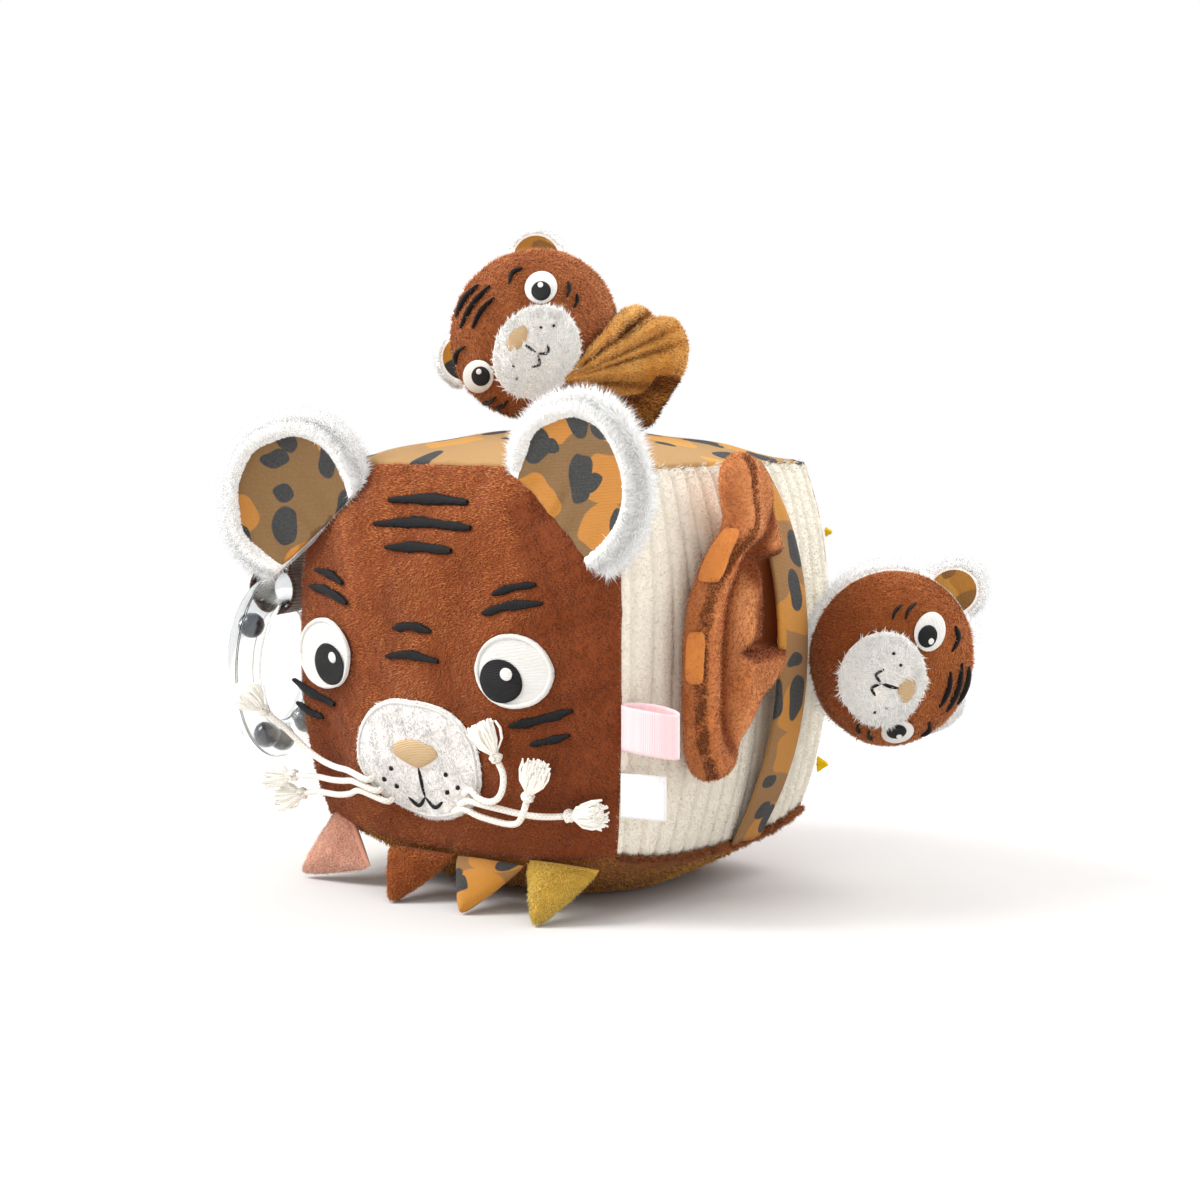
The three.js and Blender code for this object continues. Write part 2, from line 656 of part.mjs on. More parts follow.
// The band over the right side, from the top seam to the bottom seam.
function band(grow) {
  const count = 16;
  const b = bandY / halfDepth;
  const sections = spacing(count, 1).map((v) => {
    const nudge = clearance / halfHeight;
    const [above, beneath] = [Math.min(v + nudge, 1), Math.max(v - nudge, -1)];
    const rising = blockPoint(1, b, above).sub(blockPoint(1, b, beneath));
    const out = vec(rising.z, 0, -rising.x).normalize();
    const lift = 2 * clearance + bandThickness / 2 + bandRise * (1 - v * v);
    return {
      centre: blockPoint(1, b, v * (1 - bandThickness / halfHeight)).addScaledVector(out, lift),
      across: vec(0, 1, 0),
      up: out,
      half: (bandWidth / 2 + grow) * Math.SQRT2,
      thick: (bandThickness / 2 + grow) * Math.SQRT2,
    };
  });
  const rings = sections.map(({ centre, across, up, half, thick }) =>
    Array.from({ length: 4 }, (_, i) => {
      const turn = ((2 * i + 1) * Math.PI) / 4;
      return centre.clone()
        .addScaledVector(across, half * Math.cos(turn))
        .addScaledVector(up, thick * Math.sin(turn));
    }));
  return closedRings(rings, sections[0].centre, sections.at(-1).centre);
}
add('side_band', cut(band(0), cutter), spottedCloth());

// Small dolls. A head is two half domes of stuffing: the plush face and the fur hood behind it.

function headFrame(centre, faceward, crownward, wide, tall, deep) {
  const z = faceward.clone().normalize();
  const y = crownward.clone().addScaledVector(z, -crownward.dot(z)).normalize();
  const x = y.clone().cross(z);
  const frame = new THREE.Matrix4().makeBasis(x, y, z).setPosition(centre);
  const half = vec(wide / 2, tall / 2, deep / 2);

  // One half of the head, grown by a pile and set off from the other half.
  const dome = (side, grow, apart) => {
    const steps = 6;
    const arc = Array.from({ length: steps }, (_, i) => {
      const turn = (i * Math.PI) / 2 / steps;
      return [Math.cos(turn), side * Math.sin(turn)];
    });
    const body = turned([[0, 0], ...arc, [0, side]], 20);
    body.scale(half.x + grow, half.y + grow, half.z + grow);
    return body.translate(0, 0, apart * side).applyMatrix4(frame);
  };

  // The face's surface, by the distances from its middle across and up.
  const onFaceDome = (u, v, standOff) => {
    const [p, q] = [u / half.x, v / half.y];
    const surface = vec(u, v, half.z * Math.sqrt(Math.max(0, 1 - p * p - q * q)));
    const normal = vec(p / half.x, q / half.y, surface.z / half.z ** 2).normalize();
    return surface.addScaledVector(normal, standOff).applyMatrix4(frame);
  };
  const radiusAlong = (direction) =>
    1 / Math.hypot(direction.dot(x) / half.x, direction.dot(y) / half.y, direction.dot(z) / half.z);
  const grown = join(dome(1, clearance, 0), dome(-1, hoodPile + 2 * clearance, 0));
  return { centre, frame, half, dome, onFaceDome, radiusAlong, grown, down: y.clone().negate() };
}

function dollHead(name, head) {
  const apart = clearance / 2;
  const earShare = 0.72;
  const muzzleDrop = head.half.y * dollMuzzleDrop;
  add(`${name}_face`, head.dome(1, 0, apart), rustPlush());
  add(`${name}_hood`, head.dome(-1, hoodPile, apart), whiteFur());
  const onDome = (u, v, standOff) => head.onFaceDome(u, v - muzzleDrop, standOff);
  add(`${name}_muzzle`, cut(patch(onDome, dollMuzzleWide, dollMuzzleTall, 0,
    dollMuzzleThickness, 16), head.grown), whiteFur());
  for (const [side, sign] of [['left', -1], ['right', 1]]) {
    const disc = turned([[0, -dollEarThickness / 2], [dollEarDiameter * 0.36, -dollEarThickness * 0.4],
      [dollEarDiameter / 2, 0], [dollEarDiameter * 0.36, dollEarThickness * 0.4],
      [0, dollEarThickness * 0.2]], 16);
    disc.translate(sign * head.half.x * earShare, head.half.y * earShare, -dollEarThickness / 2);
    disc.applyMatrix4(head.frame);
    add(`${name}_${side}_ear`, cut(disc, head.grown), spottedCloth());
  }
}

const viewed = vec(Math.sin(rad(facing)), -Math.cos(rad(facing)), 0);
const rightward = vec(Math.cos(rad(facing)), Math.sin(rad(facing)), 0);
const upward = vec(0, 0, 1);

// The side doll's head leans out behind the band, its crown away from it, its face turned down.
const sideHeadSurface = blockPoint(1, sideHeadY / halfDepth, 0).x;
const sideHeadReach = Math.hypot(sideHeadTall * rightward.x, (sideHeadDeep + hoodPile) * viewed.x) / 2;
const sideHeadMiddle = vec(sideHeadSurface + sideHeadReach + hoodPile + headTurnRoom, sideHeadY,
  seamLift + sideHeadHeight);
const sideFaceward = viewed.clone().multiplyScalar(Math.cos(rad(sideHeadNod)))
  .addScaledVector(upward, -Math.sin(rad(sideHeadNod)));
const sideHead = headFrame(sideHeadMiddle, sideFaceward, rightward,
  sideHeadWide, sideHeadTall, sideHeadDeep);
dollHead('side_doll', sideHead);

// The top doll's head lies on the top panel, its crown up to the left.
const topHeadSurface = blockPoint(topHeadX / halfWidth, 0, 1).z;
const topHeadMiddle = vec(topHeadX, 0, topHeadSurface + topHeadWide / 2 + hoodPile + clearance);
const topCrownward = rightward.clone().multiplyScalar(-Math.cos(rad(topHeadLean)))
  .addScaledVector(upward, Math.sin(rad(topHeadLean)));
const topHead = headFrame(topHeadMiddle, viewed, topCrownward, topHeadWide, topHeadTall, topHeadDeep);
dollHead('top_doll', topHead);

// A neck ends in a ball just clear of the head, so that the head can turn on it.
function neckBall(head, direction, radius) {
  const away = head.radiusAlong(direction) + hoodPile + clearance + radius;
  const centre = head.centre.clone().addScaledVector(direction, away);
  const ball = bare(new THREE.IcosahedronGeometry(radius, 2)).translate(centre.x, centre.y, centre.z);
  return { centre, ball };
}

// The side doll's flat body fans out from under the band towards the front of the block.
const sideBodyPlane = blockPoint(1, 0, 0).x + sideBodyThickness / 2 + clearance;
function sidePad(grow) {
  // Shares of the body's height and width: height, middle, half width; then of its thickness.
  const padShares = [
    [0, -0.46, 0.13, 0.3], [0.05, -0.44, 0.34, 0.62], [0.14, -0.4, 0.46, 0.85], [0.27, -0.37, 0.53, 1],
    [0.5, -0.32, 0.51, 1], [0.67, -0.26, 0.41, 1], [0.75, -0.15, 0.28, 0.9], [0.86, -0.22, 0.32, 0.85],
    [0.93, -0.24, 0.27, 0.6], [1, -0.25, 0.13, 0.3],
  ];
  return loft(padShares.map(([up, middle, half, thick]) => ({
    centre: vec(sideBodyPlane, middle * sideBodyWide,
      seamLift + sideBodyHeight + up * sideBodyTall + (2 * up - 1) * grow),
    across: vec(0, 1, 0),
    up: vec(1, 0, 0),
    half: half * sideBodyWide + grow,
    thick: (thick * sideBodyThickness) / 2 + grow,
  })), 14, 2.4);
}
const sideNeckward = sideHead.down.clone().applyAxisAngle(upward, rad(sideNeckSwing));
const sideNeck = neckBall(sideHead, sideNeckward, sideNeckRadius);
function sideBody() {
  const start = vec(sideBodyPlane, -sideBodyWide / 4, sideNeck.centre.z);
  const neck = loft([0, 0.35, 0.7, 1].map((along) => ({
    centre: start.clone().lerp(sideNeck.centre, along),
    across: upward,
    up: vec(1, 0, 0),
    half: sideNeckRadius * (3.2 - 2.2 * along),
    thick: sideNeckRadius,
  })), 12);
  return cut(join(sidePad(0), neck, sideNeck.ball), cutter, band(clearance), sideHead.grown);
}
add('side_doll_body', sideBody(), rustPlush());

// Two bright patches wrap the front edge of the side doll's body, like paws.
const pawPatches = [
  { name: 'upper', height: upperPawHeight, reach: upperPawReach, edgeShare: 0.64 },
  { name: 'lower', height: lowerPawHeight, reach: lowerPawReach, edgeShare: 0.88 },
];
for (const { name, height, reach, edgeShare } of pawPatches) {
  const wrap = cut(sidePad(clearance + pawPatchThickness), sidePad(clearance));
  const z = seamLift + height;
  const edge = -sideBodyWide * edgeShare;
  const zone = box(vec(sideBodyPlane - sideBodyThickness, edge - reach, z - pawPatchLength / 2),
    vec(sideBodyPlane + sideBodyThickness, edge + reach, z + pawPatchLength / 2));
  add(`${name}_paw_patch`, cut(common(wrap, zone), cutter), cloth(0xe1913c));
}

// The top doll's body is gathered under its chin, before the head, and fans out over the top
// panel. The head and its muzzle are cut from it through their turn on the neck.
const topNeck = neckBall(topHead, topHead.down, topNeckRadius);
function topBody() {
  // Shares: how far along the body, its middle and half height, its thickness and how far before
  // the neck it lies.
  const fanShares = [
    [0, 0.17, 0.13, 0.4, 1], [0.18, 0.22, 0.25, 0.65, 1], [0.37, 0.29, 0.38, 0.9, 0.9],
    [0.55, 0.3, 0.46, 1, 0.7], [0.74, 0.25, 0.49, 1, 0.55], [0.85, 0.3, 0.42, 0.85, 0.5],
    [0.93, 0.37, 0.31, 0.65, 0.45], [1, 0.43, 0.16, 0.35, 0.4],
  ];
  const fan = loft(fanShares.map(([along, middle, half, thick, forward]) => ({
    centre: topNeck.centre.clone().addScaledVector(rightward, topBodyStart + along * topBodyLength)
      .addScaledVector(upward, middle * topBodyTall)
      .addScaledVector(viewed, forward * topBodyForward),
    across: upward,
    up: viewed,
    half: half * topBodyTall,
    thick: (thick * topBodyThickness) / 2,
  })), 14, 2.2);
  const chin = (u, v, standOff) => topHead.onFaceDome(u, v - topHead.half.y * dollMuzzleDrop, standOff);
  const room = 1 + clearance;
  const moving = [topHead.grown,
    patch(chin, dollMuzzleWide + room, dollMuzzleTall + room, 0, dollMuzzleThickness + room, 16)];
  const { x, y, z } = topNeck.centre;
  const turns = [-1, -0.5, 0, 0.5, 1].flatMap((share) => {
    const turn = new THREE.Matrix4().makeRotationAxis(topHead.down, rad(share * topHeadTurn));
    return moving.map((piece) => piece.clone().translate(-x, -y, -z).applyMatrix4(turn).translate(x, y, z));
  });
  return cut(join(fan, topNeck.ball), cutter, ...turns);
}
add('top_doll_body', topBody(), caramelPlush());

export default group;
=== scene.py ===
from math import asin, atan2, cos, hypot, pi, radians, sin, sqrt, tau

import bmesh
import bpy
import numpy as np
from mathutils import Matrix, Vector


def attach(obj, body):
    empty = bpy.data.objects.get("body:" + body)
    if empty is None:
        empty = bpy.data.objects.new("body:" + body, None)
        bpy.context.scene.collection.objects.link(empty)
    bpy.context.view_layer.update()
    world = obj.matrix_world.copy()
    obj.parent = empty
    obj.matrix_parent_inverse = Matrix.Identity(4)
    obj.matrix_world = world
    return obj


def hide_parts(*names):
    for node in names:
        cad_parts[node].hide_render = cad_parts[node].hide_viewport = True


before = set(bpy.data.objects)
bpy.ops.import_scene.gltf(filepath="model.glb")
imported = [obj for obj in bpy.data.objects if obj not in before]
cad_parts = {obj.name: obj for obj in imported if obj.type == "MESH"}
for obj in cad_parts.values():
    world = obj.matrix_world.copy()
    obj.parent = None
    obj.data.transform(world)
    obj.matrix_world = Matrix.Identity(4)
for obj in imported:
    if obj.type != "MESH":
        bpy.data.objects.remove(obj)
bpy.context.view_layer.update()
scene = bpy.context.scene
MM = 0.001

# The block, seam to seam, and what is sewn on its face.
HALF = (75.0, 69.5, 75.0)
SEAM_LIFT = 26.0
TOP_LEVEL = SEAM_LIFT + 2 * HALF[2]
SEAM_GAP = 0.3
RIB_PITCH = 9.2
RIB_DEPTH = 3.0
FACE_X = -9.0
EYE_SPREAD, EYE_HEIGHT = 48.0, 72.0
EYE_SIZE = (30.0, 28.6)
PUPIL_INSET, PUPIL_DROP, PUPIL_SIZE = 4.0, 4.0, 17.0
MUZZLE_HEIGHT, MUZZLE_WIDE, MUZZLE_TALL = 33.0, 66.0, 50.0
NOSE = (FACE_X, MUZZLE_HEIGHT + 4, 22.5, 10.5)

# Directions: up, the way that the viewer stands, and the viewer's right.
FACING = radians(36)
UPWARD = np.array((0.0, 0.0, 1.0))
VIEWED = np.array((sin(FACING), -cos(FACING), 0.0))
RIGHTWARD = np.array((cos(FACING), sin(FACING), 0.0))

# Shaping tools


def unit(v):
    v = np.asarray(v, float)
    return v / np.maximum(np.linalg.norm(v, axis=-1, keepdims=True), 1e-9)


def run_along(points):
    """How far along a path each of its points lies."""
    return np.concatenate([[0], np.cumsum(np.linalg.norm(np.diff(points, axis=0), axis=1))])


def bell(value, middle, half):
    """A smooth bump of 1 at the middle value, about half wide to each side."""
    return np.exp(-(((value - middle) / half) ** 2))


def ramp(value, low, high):
    """A soft rise from 0 at low to 1 at high."""
    share = np.clip((value - low) / (high - low), 0, 1)
    return share * share * (3 - 2 * share)


def rounding(share):
    """A quarter circle's height, from 0 at share 0 to 1 at share 1."""
    return np.sqrt(np.clip(1 - (1 - np.clip(share, 0, 1)) ** 2, 0, 1))


def grain(points, scale, seed=0):
    """Soft numbers from -1 to 1 that wander over points, with lumps about scale wide."""
    rng = np.random.default_rng(seed)
    waves = rng.normal(size=(3, 7)) * (2.2 / scale)
    return np.sin(points @ waves + rng.uniform(0, tau, 7)).sum(-1) / 3.2


def between(start, end, t, one, other):
    return (end - t) / (end - start) * one + (t - start) / (end - start) * other


def through(points, count):
    """Points spaced along a smooth curve through the given ones."""
    points = np.asarray(points, float)
    gaps = np.maximum(np.linalg.norm(np.diff(points[:, :3], axis=0), axis=1), 1e-6) ** 0.5
    knots = np.concatenate([[0], np.cumsum(gaps)])
    first = points[0] * 2 - points[1]
    last = points[-1] * 2 - points[-2]
    padded = np.vstack([first, points, last])
    times = np.concatenate([[-gaps[0]], knots, [knots[-1] + gaps[-1]]])
    dense = []
    for t in np.linspace(0, knots[-1], count * 8):
        i = min(max(int(np.searchsorted(knots, t, side="right")) - 1, 0), len(points) - 2)
        p, k = padded[i:i + 4], times[i:i + 4]
        a = [between(k[j], k[j + 1], t, p[j], p[j + 1]) for j in range(3)]
        b = [between(k[j], k[j + 2], t, a[j], a[j + 1]) for j in range(2)]
        dense.append(between(k[1], k[2], t, *b))
    dense = np.array(dense)
    run = run_along(dense[:, :3])
    even = np.linspace(0, run[-1], count)
    return np.stack([np.interp(even, run, values) for values in dense.T], axis=1)


def select(piece):
    bpy.ops.object.select_all(action="DESELECT")
    piece.select_set(True)
    bpy.context.view_layer.objects.active = piece


def primitive(kind, name, **sizes):
    """One of Blender's primitives, alone selected, under the piece's own name."""
    bpy.ops.object.select_all(action="DESELECT")
    getattr(bpy.ops.mesh, f"primitive_{kind}_add")(**sizes)
    piece = bpy.context.active_object
    piece.name = piece.data.name = name
    return piece


def edit(piece, **steps):
    """Runs mesh operators, one after another, on all of a piece."""
    select(piece)
    bpy.ops.object.mode_set(mode="EDIT")
    bpy.ops.mesh.select_all(action="SELECT")
    for operator, settings in steps.items():
        getattr(bpy.ops.mesh, operator)(**settings)
    bpy.ops.object.mode_set(mode="OBJECT")


def outward(piece):
    """Merges a piece's doubles and turns its faces outwards."""
    edit(piece, remove_doubles=dict(threshold=0.00001), normals_make_consistent=dict(inside=False))


def cut(piece, place, facing, fill=True):
    """Cuts a piece by a plane and takes away what lies on the side that the plane faces."""
    edit(piece, bisect=dict(plane_co=place, plane_no=facing, clear_outer=True, use_fill=fill))


def finish_with(piece, kind, **settings):
    """Adds a modifier and applies it."""
    select(piece)
    modifier = piece.modifiers.new(kind.title(), kind)
    for key, value in settings.items():
        setattr(modifier, key, value)
    bpy.ops.object.modifier_apply(modifier=modifier.name)


def smooth(piece, angle):
    select(piece)
    bpy.ops.object.shade_smooth_by_angle(angle=radians(angle))
    return piece


def corners(piece):
    """A piece's vertices, as its mesh holds them."""
    flat = np.empty(len(piece.data.vertices) * 3, np.float32)
    piece.data.vertices.foreach_get("co", flat)
    return flat.reshape(-1, 3).astype(float)


def put_in_order(piece):
    """Sorts edges and faces by their corners: Blender makes a ball's in another order each run, and
    strands are spread over faces in their order."""
    shape = bmesh.new()
    shape.from_mesh(piece.data)
    count = len(shape.verts)

    def rank(part):
        number = 0
        for index in sorted(corner.index for corner in part.verts)[:4]:
            number = number * count + index
        return number

    shape.edges.sort(key=rank)
    shape.faces.sort(key=rank)
    shape.to_mesh(piece.data)
    shape.free()


def ball(name, segments, rings):
    """A ball of radius 1 to be shaped, and its corners."""
    piece = primitive("uv_sphere", name, segments=segments, ring_count=rings, radius=1)
    put_in_order(piece)
    return piece, corners(piece)


def polar(p):
    """A ball's corners seen from above: their shares of its radius, and their angles."""
    return np.minimum(np.hypot(p[:, 0], p[:, 1]), 1), np.arctan2(p[:, 1], p[:, 0])


def in_metres(values):
    return (np.asarray(values) * MM).astype(np.float32).ravel()


def move_to(piece, points):
    """Moves a piece's vertices to points in millimetres."""
    piece.data.vertices.foreach_set("co", in_metres(points))
    piece.data.update()


def mesh_piece(name, points, faces):
    """A piece from points in millimetres and faces of one size."""
    faces = np.asarray(faces, np.int32)
    mesh = bpy.data.meshes.new(name)
    mesh.vertices.add(len(points))
    mesh.vertices.foreach_set("co", in_metres(points))
    mesh.loops.add(faces.size)
    mesh.loops.foreach_set("vertex_index", faces.ravel())
    mesh.polygons.add(len(faces))
    mesh.polygons.foreach_set("loop_start", np.arange(len(faces), dtype=np.int32) * faces.shape[1])
    mesh.update(calc_edges=True)
    piece = bpy.data.objects.new(name, mesh)
    scene.collection.objects.link(piece)
    return piece


def loop_corners(piece):
    """The vertex that each corner of a face uses."""
    loops = np.empty(len(piece.data.loops), np.int32)
    piece.data.loops.foreach_get("vertex_index", loops)
    return loops


def lay_uv(piece, places):
    """The cloth's UV map, from one place a vertex."""
    layers = piece.data.uv_layers
    layer = layers.get("cloth") or layers.new(name="cloth")
    layer.uv.foreach_set("vector", in_metres(np.asarray(places)[loop_corners(piece)]))


def read_uv(piece):
    """The cloth's place at each vertex, in millimetres."""
    loops = loop_corners(piece)
    flat = np.empty(len(loops) * 2, np.float32)
    piece.data.uv_layers["cloth"].uv.foreach_get("vector", flat)
    places = np.zeros((len(piece.data.vertices), 2))
    places[loops] = flat.reshape(-1, 2) / MM
    return places


def mark(piece, name, values):
    layer = piece.data.attributes.new(name, "FLOAT", "POINT")
    layer.data.foreach_set("value", np.asarray(values, np.float32).ravel())


def dress(piece, finish, body, slot, *nodes):
    """Gives a piece its finish and its body, and hides the solids that it stands for. The slot is not used.
    """
    piece.data.materials.clear()
    piece.data.materials.append(finish)
    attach(piece, body)
    if nodes:
        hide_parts(*nodes)


def swept(name, rings):
    """A closed form through rings of points, with cloth laid round and along it."""
    count, sides = rings.shape[:2]
    points = np.vstack([rings.reshape(-1, 3), rings[0].mean(0), rings[-1].mean(0)])
    along = run_along(rings.mean(1))
    around = np.linalg.norm(rings - np.roll(rings, 1, axis=1), axis=2).sum(1).max() / sides
    faces, places = [], []
    for r in range(count - 1):
        for s in range(sides):
            t = (s + 1) % sides
            a, b = r * sides, (r + 1) * sides
            faces += [(a + s, a + t, b + t), (a + s, b + t, b + s)]
            low, high = (s * around, along[r]), ((s + 1) * around, along[r + 1])
            places += [low, (high[0], low[1]), high, low, high, (low[0], high[1])]
    for end, ring in ((count * sides, 0), (count * sides + 1, count - 1)):
        for s in range(sides):
            fan = (end, ring * sides + (s + 1) % sides, ring * sides + s)
            faces.append(fan[::-1] if ring else fan)
            places += [(s * around, along[ring])] * 3
    piece = mesh_piece(name, points, faces)
    layer = piece.data.uv_layers.new(name="cloth")
    layer.uv.foreach_set("vector", in_metres(places))
    edit(piece, normals_make_consistent=dict(inside=False))
    piece.data.shade_smooth()
    return piece


# The block's surface


def block_point(a, b, c, inset=0.0):
    """Places on the block, at shares a, b, c of its half sizes, an inset below the cloth."""
    a, b, c, inset = np.broadcast_arrays(*(np.asarray(s, float) for s in (a, b, c, inset)))
    u, v, w = (s * (1 - inset / half) for s, half in zip((a, b, c), HALF))
    fu, fv, fw = (1 - np.abs(t) ** 2.6 for t in (u, v, w))

    def swell(crown, along):
        return crown * along * fw + 8.5 * (1 - along) * fw + 3 * along * (1 - fw)

    crown, bow = np.where(w > 0, 13, 32), np.where(w > 0, 1, 7)
    rise = crown * fu * fv + bow * ((1 - fu) * fv + fu * (1 - fv))
    x = HALF[0] * u + u**3 * swell(np.where(u > 0, 16, 20), fv)
    y = HALF[1] * v + v**3 * swell(np.where(v > 0, 20, 22), fu)
    z = SEAM_LIFT + HALF[2] * (1 + w) + w**3 * rise
    return np.stack([x, y, np.maximum(z, inset)], axis=-1)


def raised(surface, u, v, off):
    """Points over surface(u, v), off along its normal, in millimetres."""
    step = 0.3
    u, v, off = np.broadcast_arrays(*(np.asarray(s, float) for s in (u, v, off)))
    across = surface(u + step, v) - surface(u - step, v)
    up = surface(u, v + step) - surface(u, v - step)
    return surface(u, v) + unit(np.cross(across, up)) * off[..., None]


# Each crease in the face's cloth: from, to, half width, depth.
CREASES = [
    ((-74, 14), (-47, 30), 4.5, 2.0), ((68, 12), (34, 24), 5.0, 2.2), ((30, 3), (20, 14), 3.5, 1.4),
    ((-36, 2), (-26, 12), 3.5, 1.4), ((72, 96), (52, 88), 4.5, 1.6), ((66, 140), (40, 128), 6.0, 1.8),
    ((-72, 118), (-50, 104), 6.0, 1.8), ((-24, 148), (-20, 139), 4.0, 1.5),
    ((14, 148), (16, 140), 4.0, 1.5), ((70, 62), (54, 60), 4.0, 1.3),
]


def face_lumps(x, height):
    """How far the stuffing pushes the face's cloth out, or a crease draws it in."""
    edge = np.minimum(HALF[0] - np.abs(x), HALF[2] - np.abs(height - HALF[2]))
    at = np.stack([x, height, x * 0], -1)
    level = (1.5 * grain(at, 30, 8) + 0.5 * grain(at, 12, 9)) * np.clip(edge / 14, 0, 1)
    for first, last, half, depth in CREASES:
        run = np.array(last, float) - first
        share = np.clip(((x - first[0]) * run[0] + (height - first[1]) * run[1]) / (run @ run), 0, 1)
        gap = np.hypot(x - first[0] - share * run[0], height - first[1] - share * run[1])
        level = level - depth * (1 - 0.7 * share) * bell(gap, 0, half) * np.clip(edge / 4, 0, 1)
    return level


def front(x, height):
    x, height = np.broadcast_arrays(np.asarray(x, float), np.asarray(height, float))
    drawn = face_lumps(x, height)[..., None] * (0, 1, 0)
    return block_point(x / HALF[0], -1, height / HALF[2] - 1) - drawn


def on_front(x, height, off):
    return raised(front, x, height, off)


SIDES = {
    "front": (lambda u, v: (u, -1, v), HALF[0], HALF[2]),
    "back": (lambda u, v: (-u, 1, v), HALF[0], HALF[2]),
    "left": (lambda u, v: (-1, -u, v), HALF[1], HALF[2]),
    "right": (lambda u, v: (1, u, v), HALF[1], HALF[2]),
    "top": (lambda u, v: (u, v, 1), HALF[0], HALF[1]),
    "bottom": (lambda u, v: (u, -v, -1), HALF[0], HALF[1]),
}

# The camera

CAMERA_TURN, CAMERA_DIP = radians(36.11), radians(5.22)
CAMERA_BACK, CAMERA_ASIDE, CAMERA_HEIGHT = 961.1, 13.33, 204.57

camera = bpy.data.objects.new("photo_camera", bpy.data.cameras.new("photo_camera"))
scene.collection.objects.link(camera)
camera.data.sensor_width = 36
camera.data.lens = 67.95
camera.data.clip_start, camera.data.clip_end = 0.05, 40
camera.location = (
    (sin(CAMERA_TURN) * CAMERA_BACK + cos(CAMERA_TURN) * CAMERA_ASIDE) * MM,
    (-cos(CAMERA_TURN) * CAMERA_BACK + sin(CAMERA_TURN) * CAMERA_ASIDE) * MM,
    CAMERA_HEIGHT * MM,
)
camera.rotation_euler = (pi / 2 - CAMERA_DIP, 0, CAMERA_TURN)
scene.camera = camera

# Finishes


def colour(red, green, blue):
    """A colour read off a screen, 0 to 255, as Blender's linear one."""
    return tuple(((c / 255 + 0.055) / 1.055) ** 2.4 if c > 10 else c / 255 / 12.92
                 for c in (red, green, blue)) + (1.0,)


class Link:
    """A socket of a finish. Arithmetic on it adds Math nodes."""

    def __init__(self, finish, socket):
        self.finish, self.socket = finish, socket

    def math(self, operation, *values):
        return self.finish.node("Math", {"operation": operation}, dict(enumerate(values)))

    def __add__(self, other):
        return self.math("ADD", self, other)

    def __sub__(self, other):
        return self.math("SUBTRACT", self, other)

    def __rsub__(self, other):
        return self.math("SUBTRACT", other, self)

    def __mul__(self, other):
        return self.math("MULTIPLY", self, other)

    __radd__, __rmul__ = __add__, __mul__

    def wave(self):
        return self.math("SINE", self)

    def size(self):
        return self.math("ABSOLUTE", self)

    def most(self, other):
        return self.math("MAXIMUM", self, other)

    def step(self, low, high):
        """A soft step from 0 at low to 1 at high."""
        values = {"Value": self, "From Min": low, "From Max": high}
        return self.finish.node("MapRange", {"interpolation_type": "SMOOTHSTEP"}, values)


class Finish:
    """One material: a Principled shader with constants on its own sockets."""

    def __init__(self, name, **constants):
        self.material = bpy.data.materials.new(name)
        self.material.use_nodes = True
        self.tree = self.material.node_tree
        self.shader = self.tree.nodes["Principled BSDF"]
        for key, value in constants.items():
            self.shader.inputs[key.replace("_", " ")].default_value = value

    def node(self, kind, settings=None, inputs=None, output=0):
        """A node by its type, its settings, and the values or links of its sockets."""
        made = self.tree.nodes.new("ShaderNode" + kind)
        for key, value in (settings or {}).items():
            setattr(made, key, value)
        for key, value in (inputs or {}).items():
            if isinstance(value, Link):
                self.tree.links.new(value.socket, made.inputs[key])
            else:
                made.inputs[key].default_value = value
        return Link(self, made.outputs[output])

    def feed(self, **links):
        for key, link in links.items():
            self.tree.links.new(link.socket, self.shader.inputs[key.replace("_", " ")])

    def place(self):
        return self.node("TexCoord", output="Object")

    def cloth(self):
        return self.node("UVMap", {"uv_map": "cloth"})

    def axis(self, at, index):
        return self.node("SeparateXYZ", None, {"Vector": at}, index)

    def noise(self, at, scale, detail, output=0):
        values = {"Vector": at, "Scale": scale, "Detail": detail, "Roughness": 0.55}
        return self.node("TexNoise", None, values, output)

    def mix(self, share, one, other):
        """From one colour to the other by a share; a colour is a link or is read off a screen."""
        one, other = (colour(*c) if isinstance(c, tuple) else c for c in (one, other))
        return self.node("Mix", {"data_type": "RGBA"}, {0: share, 6: one, 7: other}, 2)

    def attribute(self, name):
        return self.node("Attribute", {"attribute_name": name}, output="Fac")

    def bump(self, height, distance):
        self.feed(Normal=self.node("Bump", None, {"Height": height, "Distance": distance}))

    def weave(self, at, pitch):
        """Over and under threads, as a height."""
        over, under = self.axis(at, 0), self.axis(at, 1)
        return ((over * (tau / pitch)).wave() * (under * (tau / pitch)).wave()).size()


def plush(name, root, tip, bright, dark=0.4):
    """Pile cloth, dark at the strand roots as painted shade between the strands, with brushed lights and
    darks and the painted shade that the strands carry.
    """
    f = Finish(name, Roughness=0.9, Sheen_Weight=0.1, Sheen_Roughness=0.45, Specular_IOR_Level=0.2)
    lumps = 15
    at = f.place()
    drift = f.node("Mapping", None, {"Vector": at, "Scale": (1, 1, 0.45), "Rotation": (0.3, 0.5, 0.2)})
    brushed = f.noise(drift, lumps, 3).step(0.42, 0.6)
    streaks = f.noise(drift, lumps * 4.5, 3).step(0.36, 0.66)
    swept_dark = f.noise(at, lumps * 0.6, 3).step(0.48, 0.66)
    # Painted shade: the colour darkens towards the strand roots, and more where the strands carry painted
    # shade.
    height = f.attribute("tip") * 0.65 + f.attribute("tone_and_shade") * 0.5 - 0.05
    pile = f.mix(height.step(0.0, 1.0), root, tip)
    lit = f.mix((brushed * 0.6 + streaks * 0.3) * height.step(0.1, 0.9), pile, bright)
    f.feed(Base_Color=f.mix(swept_dark * dark, lit, root))
    f.bump(f.noise(at, 700, 2), 0.0002)
    return f.material


